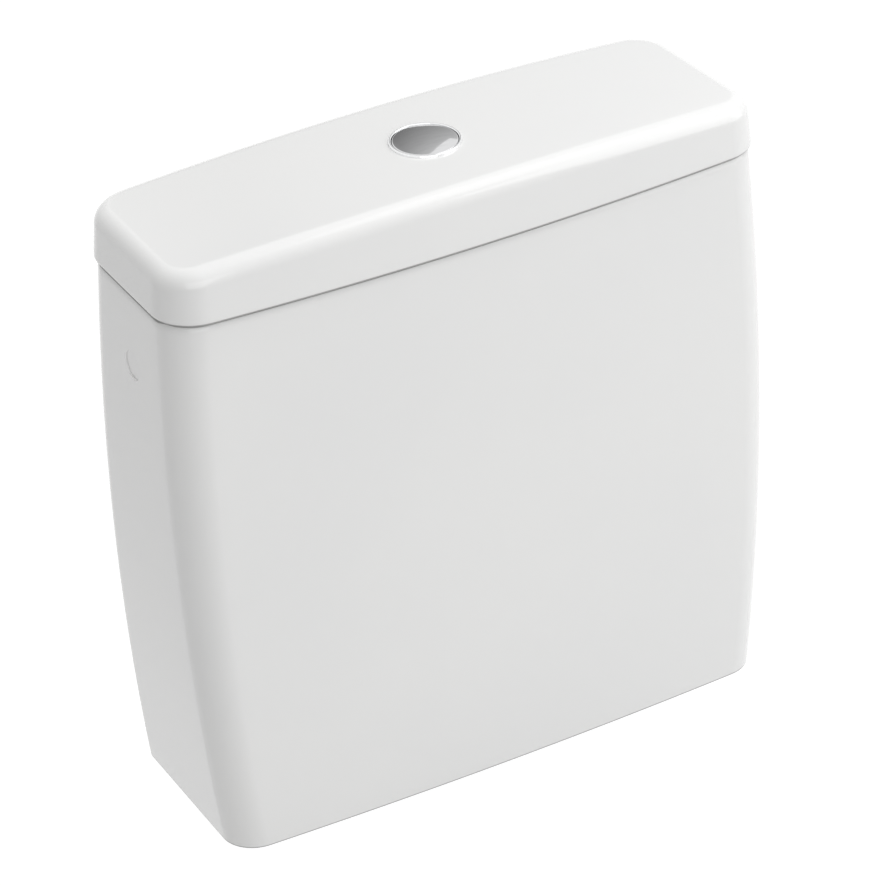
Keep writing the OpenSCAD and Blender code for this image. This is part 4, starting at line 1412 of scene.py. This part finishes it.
@dataclass(frozen=True)
class Lamp:
    """One soft rectangular lamp.

    Attributes:
        name: Its name.
        place: Where it stands.
        aim: Where it points.
        size: Its width and height.
        power: Its power in watts.
        gloss: Whether it shows in shiny surfaces.
    """

    name: str
    place: Triple
    aim: Triple
    size: Pair
    power: float
    gloss: bool = True

    def build(self) -> None:
        """Set the lamp."""
        data = bpy.data.lights.new(self.name, "AREA")
        data.shape = "RECTANGLE"
        data.size, data.size_y = self.size
        data.energy = self.power
        made = bpy.data.objects.new(self.name, data)
        made.location = self.place
        made.rotation_euler = (Vector(self.aim) - Vector(self.place)).to_track_quat("-Z", "Y").to_euler()
        made.visible_glossy = self.gloss
        bpy.context.scene.collection.objects.link(made)


@dataclass
class Studio:
    """Camera, lamps, white world, floor, a grey card for the chrome and a dark one beside the left side.

    Attributes:
        eye: The camera's place.
        target: What it looks at.
        roll: Its roll in degrees.
        lens: Its focal length in millimetres.
        sensor: Width of its sensor in millimetres.
        shift: How far the picture is moved, as shares of its width.
        sight: How far it sees.
        floor_level: Height of the floor.
        floor_radius: The floor's radius.
        floor_colour: The floor's colour as light falls on it.
        floor_glow: Share of the glow in what the camera and gloss see of the floor.
        floor_strength: Strength of that glow.
        sky: Strength of the world as a light.
        card_corners: Corners of the card.
        card_middle: Place across and height at which the card has its middle grey.
        card_grey: That grey.
        card_slopes: How much lighter it grows to the right and upwards, for each metre.
        card_left: Places across, from the middle, between which it comes out of white.
        card_right: Places across, from the middle, between which it goes back to white.
        flag_corners: Corners of the dark card on the left.
        flag_grey: Its grey.
        lamps: The lamps.
    """

    eye: Triple = (-1.0885, -2.0226, 1.5783)
    target: Triple = (0.0, -0.008, 0.190)
    roll: float = -2.955
    lens: float = 185.87
    sensor: float = 36.0
    shift: Pair = (-0.0053, 0.0053)
    sight: float = 50.0
    floor_level: float = -0.0402
    floor_radius: float = 40.0
    floor_colour: Colour = (0.70, 0.70, 0.70)
    floor_glow: float = 0.86
    floor_strength: float = 1.15
    sky: float = 0.45
    card_corners: tuple[Triple, ...] = (
        (2.355, 1.840, 1.025), (2.355, 1.840, 1.848), (1.432, 2.045, 1.690),
        (1.188, 2.099, 2.719), (0.2, 2.318, 2.719), (0.2, 2.318, 0.943),
    )
    card_middle: Pair = (0.9, 1.15)
    card_grey: float = 0.23
    card_slopes: Pair = (0.48, 0.18)
    card_left: Pair = (-0.65, -0.05)
    card_right: Pair = (0.6, 1.3)
    flag_corners: tuple[Triple, ...] = (
        (-0.9, -0.4, -0.035), (-0.9, 0.8, -0.035), (-0.9, 0.8, 0.33), (-0.9, -0.4, 0.33),
    )
    flag_grey: float = 0.04
    lamps: tuple[Lamp, ...] = (
        Lamp("overhead", (0.7, 0.3, 2.5), (0.7, 0.3, 0.25), (3.4, 2.8), 38.0, gloss=False),
        Lamp("strip", (1.1, -0.45, 2.3), (0.0, 0.0, 0.37), (1.5, 1.2), 4.2),
        Lamp("front_right", (2.0, -1.3, 1.15), (0.0, 0.0, 0.2), (2.4, 2.1), 18.8),
        Lamp("front", (-0.8, -2.3, 1.1), (0.0, 0.0, 0.2), (2.4, 1.6), 11.6),
    )

    def camera(self) -> None:
        """Set the camera at the photograph's place."""
        eye, target = Vector(self.eye), Vector(self.target)
        ahead = (target - eye).normalized()
        level = ahead.cross(Vector(UPRIGHT)).normalized()
        above = level.cross(ahead)
        roll = math.radians(self.roll)
        right = level * math.cos(roll) + above * math.sin(roll)
        up = above * math.cos(roll) - level * math.sin(roll)
        data = bpy.data.cameras.new("view")
        data.sensor_width = self.sensor
        data.lens = self.lens
        data.shift_x, data.shift_y = self.shift
        data.clip_end = self.sight
        made = bpy.data.objects.new("view", data)
        made.matrix_world = Matrix.Translation(eye) @ Matrix((right, up, -ahead)).transposed().to_4x4()
        bpy.context.scene.collection.objects.link(made)
        bpy.context.scene.camera = made

    @staticmethod
    def seen(graph: Graph, *rays: str) -> Signal:
        """Whether a ray is one of some kinds.

        Args:
            graph: The graph that asks.
            rays: Names of the kinds.

        Returns:
            1 for those rays and 0 for the others.
        """
        path = graph.node("ShaderNodeLightPath", {}, {})
        kinds = [Signal(graph, path.outputs[f"Is {ray} Ray"]) for ray in rays]
        found = kinds[0]
        for kind in kinds[1:]:
            found = found.largest(kind)
        return found

    def world(self) -> None:
        """White to the camera and in reflections, softer as light."""
        made = bpy.data.worlds.new("white_room")
        made.use_nodes = True
        graph = Graph(made.node_tree)
        seen = self.seen(graph, "Camera", "Glossy", "Transmission")
        strength = self.sky + (1.0 - self.sky) * seen
        sky = graph.node("ShaderNodeBackground", {}, {"Color": PURE_WHITE, "Strength": strength})
        graph.node("ShaderNodeOutputWorld", {}, {"Surface": sky.outputs["Background"]})
        bpy.context.scene.world = made

    @staticmethod
    def sheet(name: str, corners: Sequence[Triple]) -> bpy.types.Object:
        """Make a flat sheet.

        Args:
            name: Its name.
            corners: Its corners in turn.

        Returns:
            The sheet.
        """
        form = Form()
        form.line([Vector(corner) for corner in corners], closed=True)
        bmesh.ops.contextual_create(form.mesh, geom=form.mesh.edges[:])
        return form.loose(name)

    @staticmethod
    def paint(piece: bpy.types.Object) -> Graph:
        """Give a piece of the studio a material of its own.

        Args:
            piece: The piece.

        Returns:
            The material's graph, still empty.
        """
        made = bpy.data.materials.new(piece.name)
        made.use_nodes = True
        piece.data.materials.append(made)
        return Graph(made.node_tree)

    def floor(self) -> None:
        """A round white floor, which glows so that hardly a shadow shows on it."""
        form = Form()
        bmesh.ops.create_circle(
            form.mesh, cap_ends=True, segments=96, radius=self.floor_radius,
            matrix=Matrix.Translation((0.0, 0.0, self.floor_level)),
        )
        piece = form.loose("studio_floor")
        graph = self.paint(piece)
        seen = self.seen(graph, "Camera", "Glossy")
        pale = graph.node("ShaderNodeBsdfDiffuse", {}, {"Color": self.floor_colour})
        glow = graph.node("ShaderNodeEmission", {}, {"Color": PURE_WHITE, "Strength": self.floor_strength})
        both = graph.node(
            "ShaderNodeMixShader", {}, {0: self.floor_glow * seen, 1: pale.outputs[0], 2: glow.outputs[0]}
        )
        graph.node("ShaderNodeOutputMaterial", {}, {"Surface": both.outputs[0]})

    def card(self) -> None:
        """A grey card behind the cistern, darker to the left, which shows in gloss alone."""
        piece = self.sheet("studio_card", self.card_corners)
        graph = self.paint(piece)
        middle_across, middle_up = self.card_middle
        slope_across, slope_up = self.card_slopes
        across, up = graph.along("X") - middle_across, graph.along("Z") - middle_up
        grey = self.card_grey + slope_across * across + slope_up * up
        fade = across.step(*self.card_right).largest(1.0 - across.step(*self.card_left))
        strength = grey + (1.0 - grey) * fade
        glow = graph.node("ShaderNodeEmission", {}, {"Color": PURE_WHITE, "Strength": strength})
        graph.node("ShaderNodeOutputMaterial", {}, {"Surface": glow.outputs[0]})
        for ray in ("visible_camera", "visible_diffuse", "visible_shadow"):
            setattr(piece, ray, False)

    def flag(self) -> None:
        """A dark card that keeps some light off the left side, unseen by the camera and in gloss."""
        piece = self.sheet("studio_flag", self.flag_corners)
        graph = self.paint(piece)
        glow = graph.node("ShaderNodeEmission", {}, {"Color": PURE_WHITE, "Strength": self.flag_grey})
        graph.node("ShaderNodeOutputMaterial", {}, {"Surface": glow.outputs[0]})
        for ray in ("visible_camera", "visible_glossy"):
            setattr(piece, ray, False)

    def build(self) -> None:
        """Set the whole studio."""
        self.camera()
        self.world()
        self.floor()
        self.card()
        self.flag()
        for lamp in self.lamps:
            lamp.build()
        bpy.context.scene.view_settings.view_transform = "Standard"


def main() -> None:
    """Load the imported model, build and dress every piece, and set the studio."""
    logging.basicConfig(level=logging.INFO, format="%(name)s: %(message)s")
    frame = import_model()
    Studio().build()
    plan = Plan()
    lid = Lid(plan)
    Tank(plan).build()
    lid.build()
    PushButton(lid.ring_seat).build()
    Coupling().build()
    Fittings(frame["nodes"]).dress()


if __name__ == "__main__":
    main()
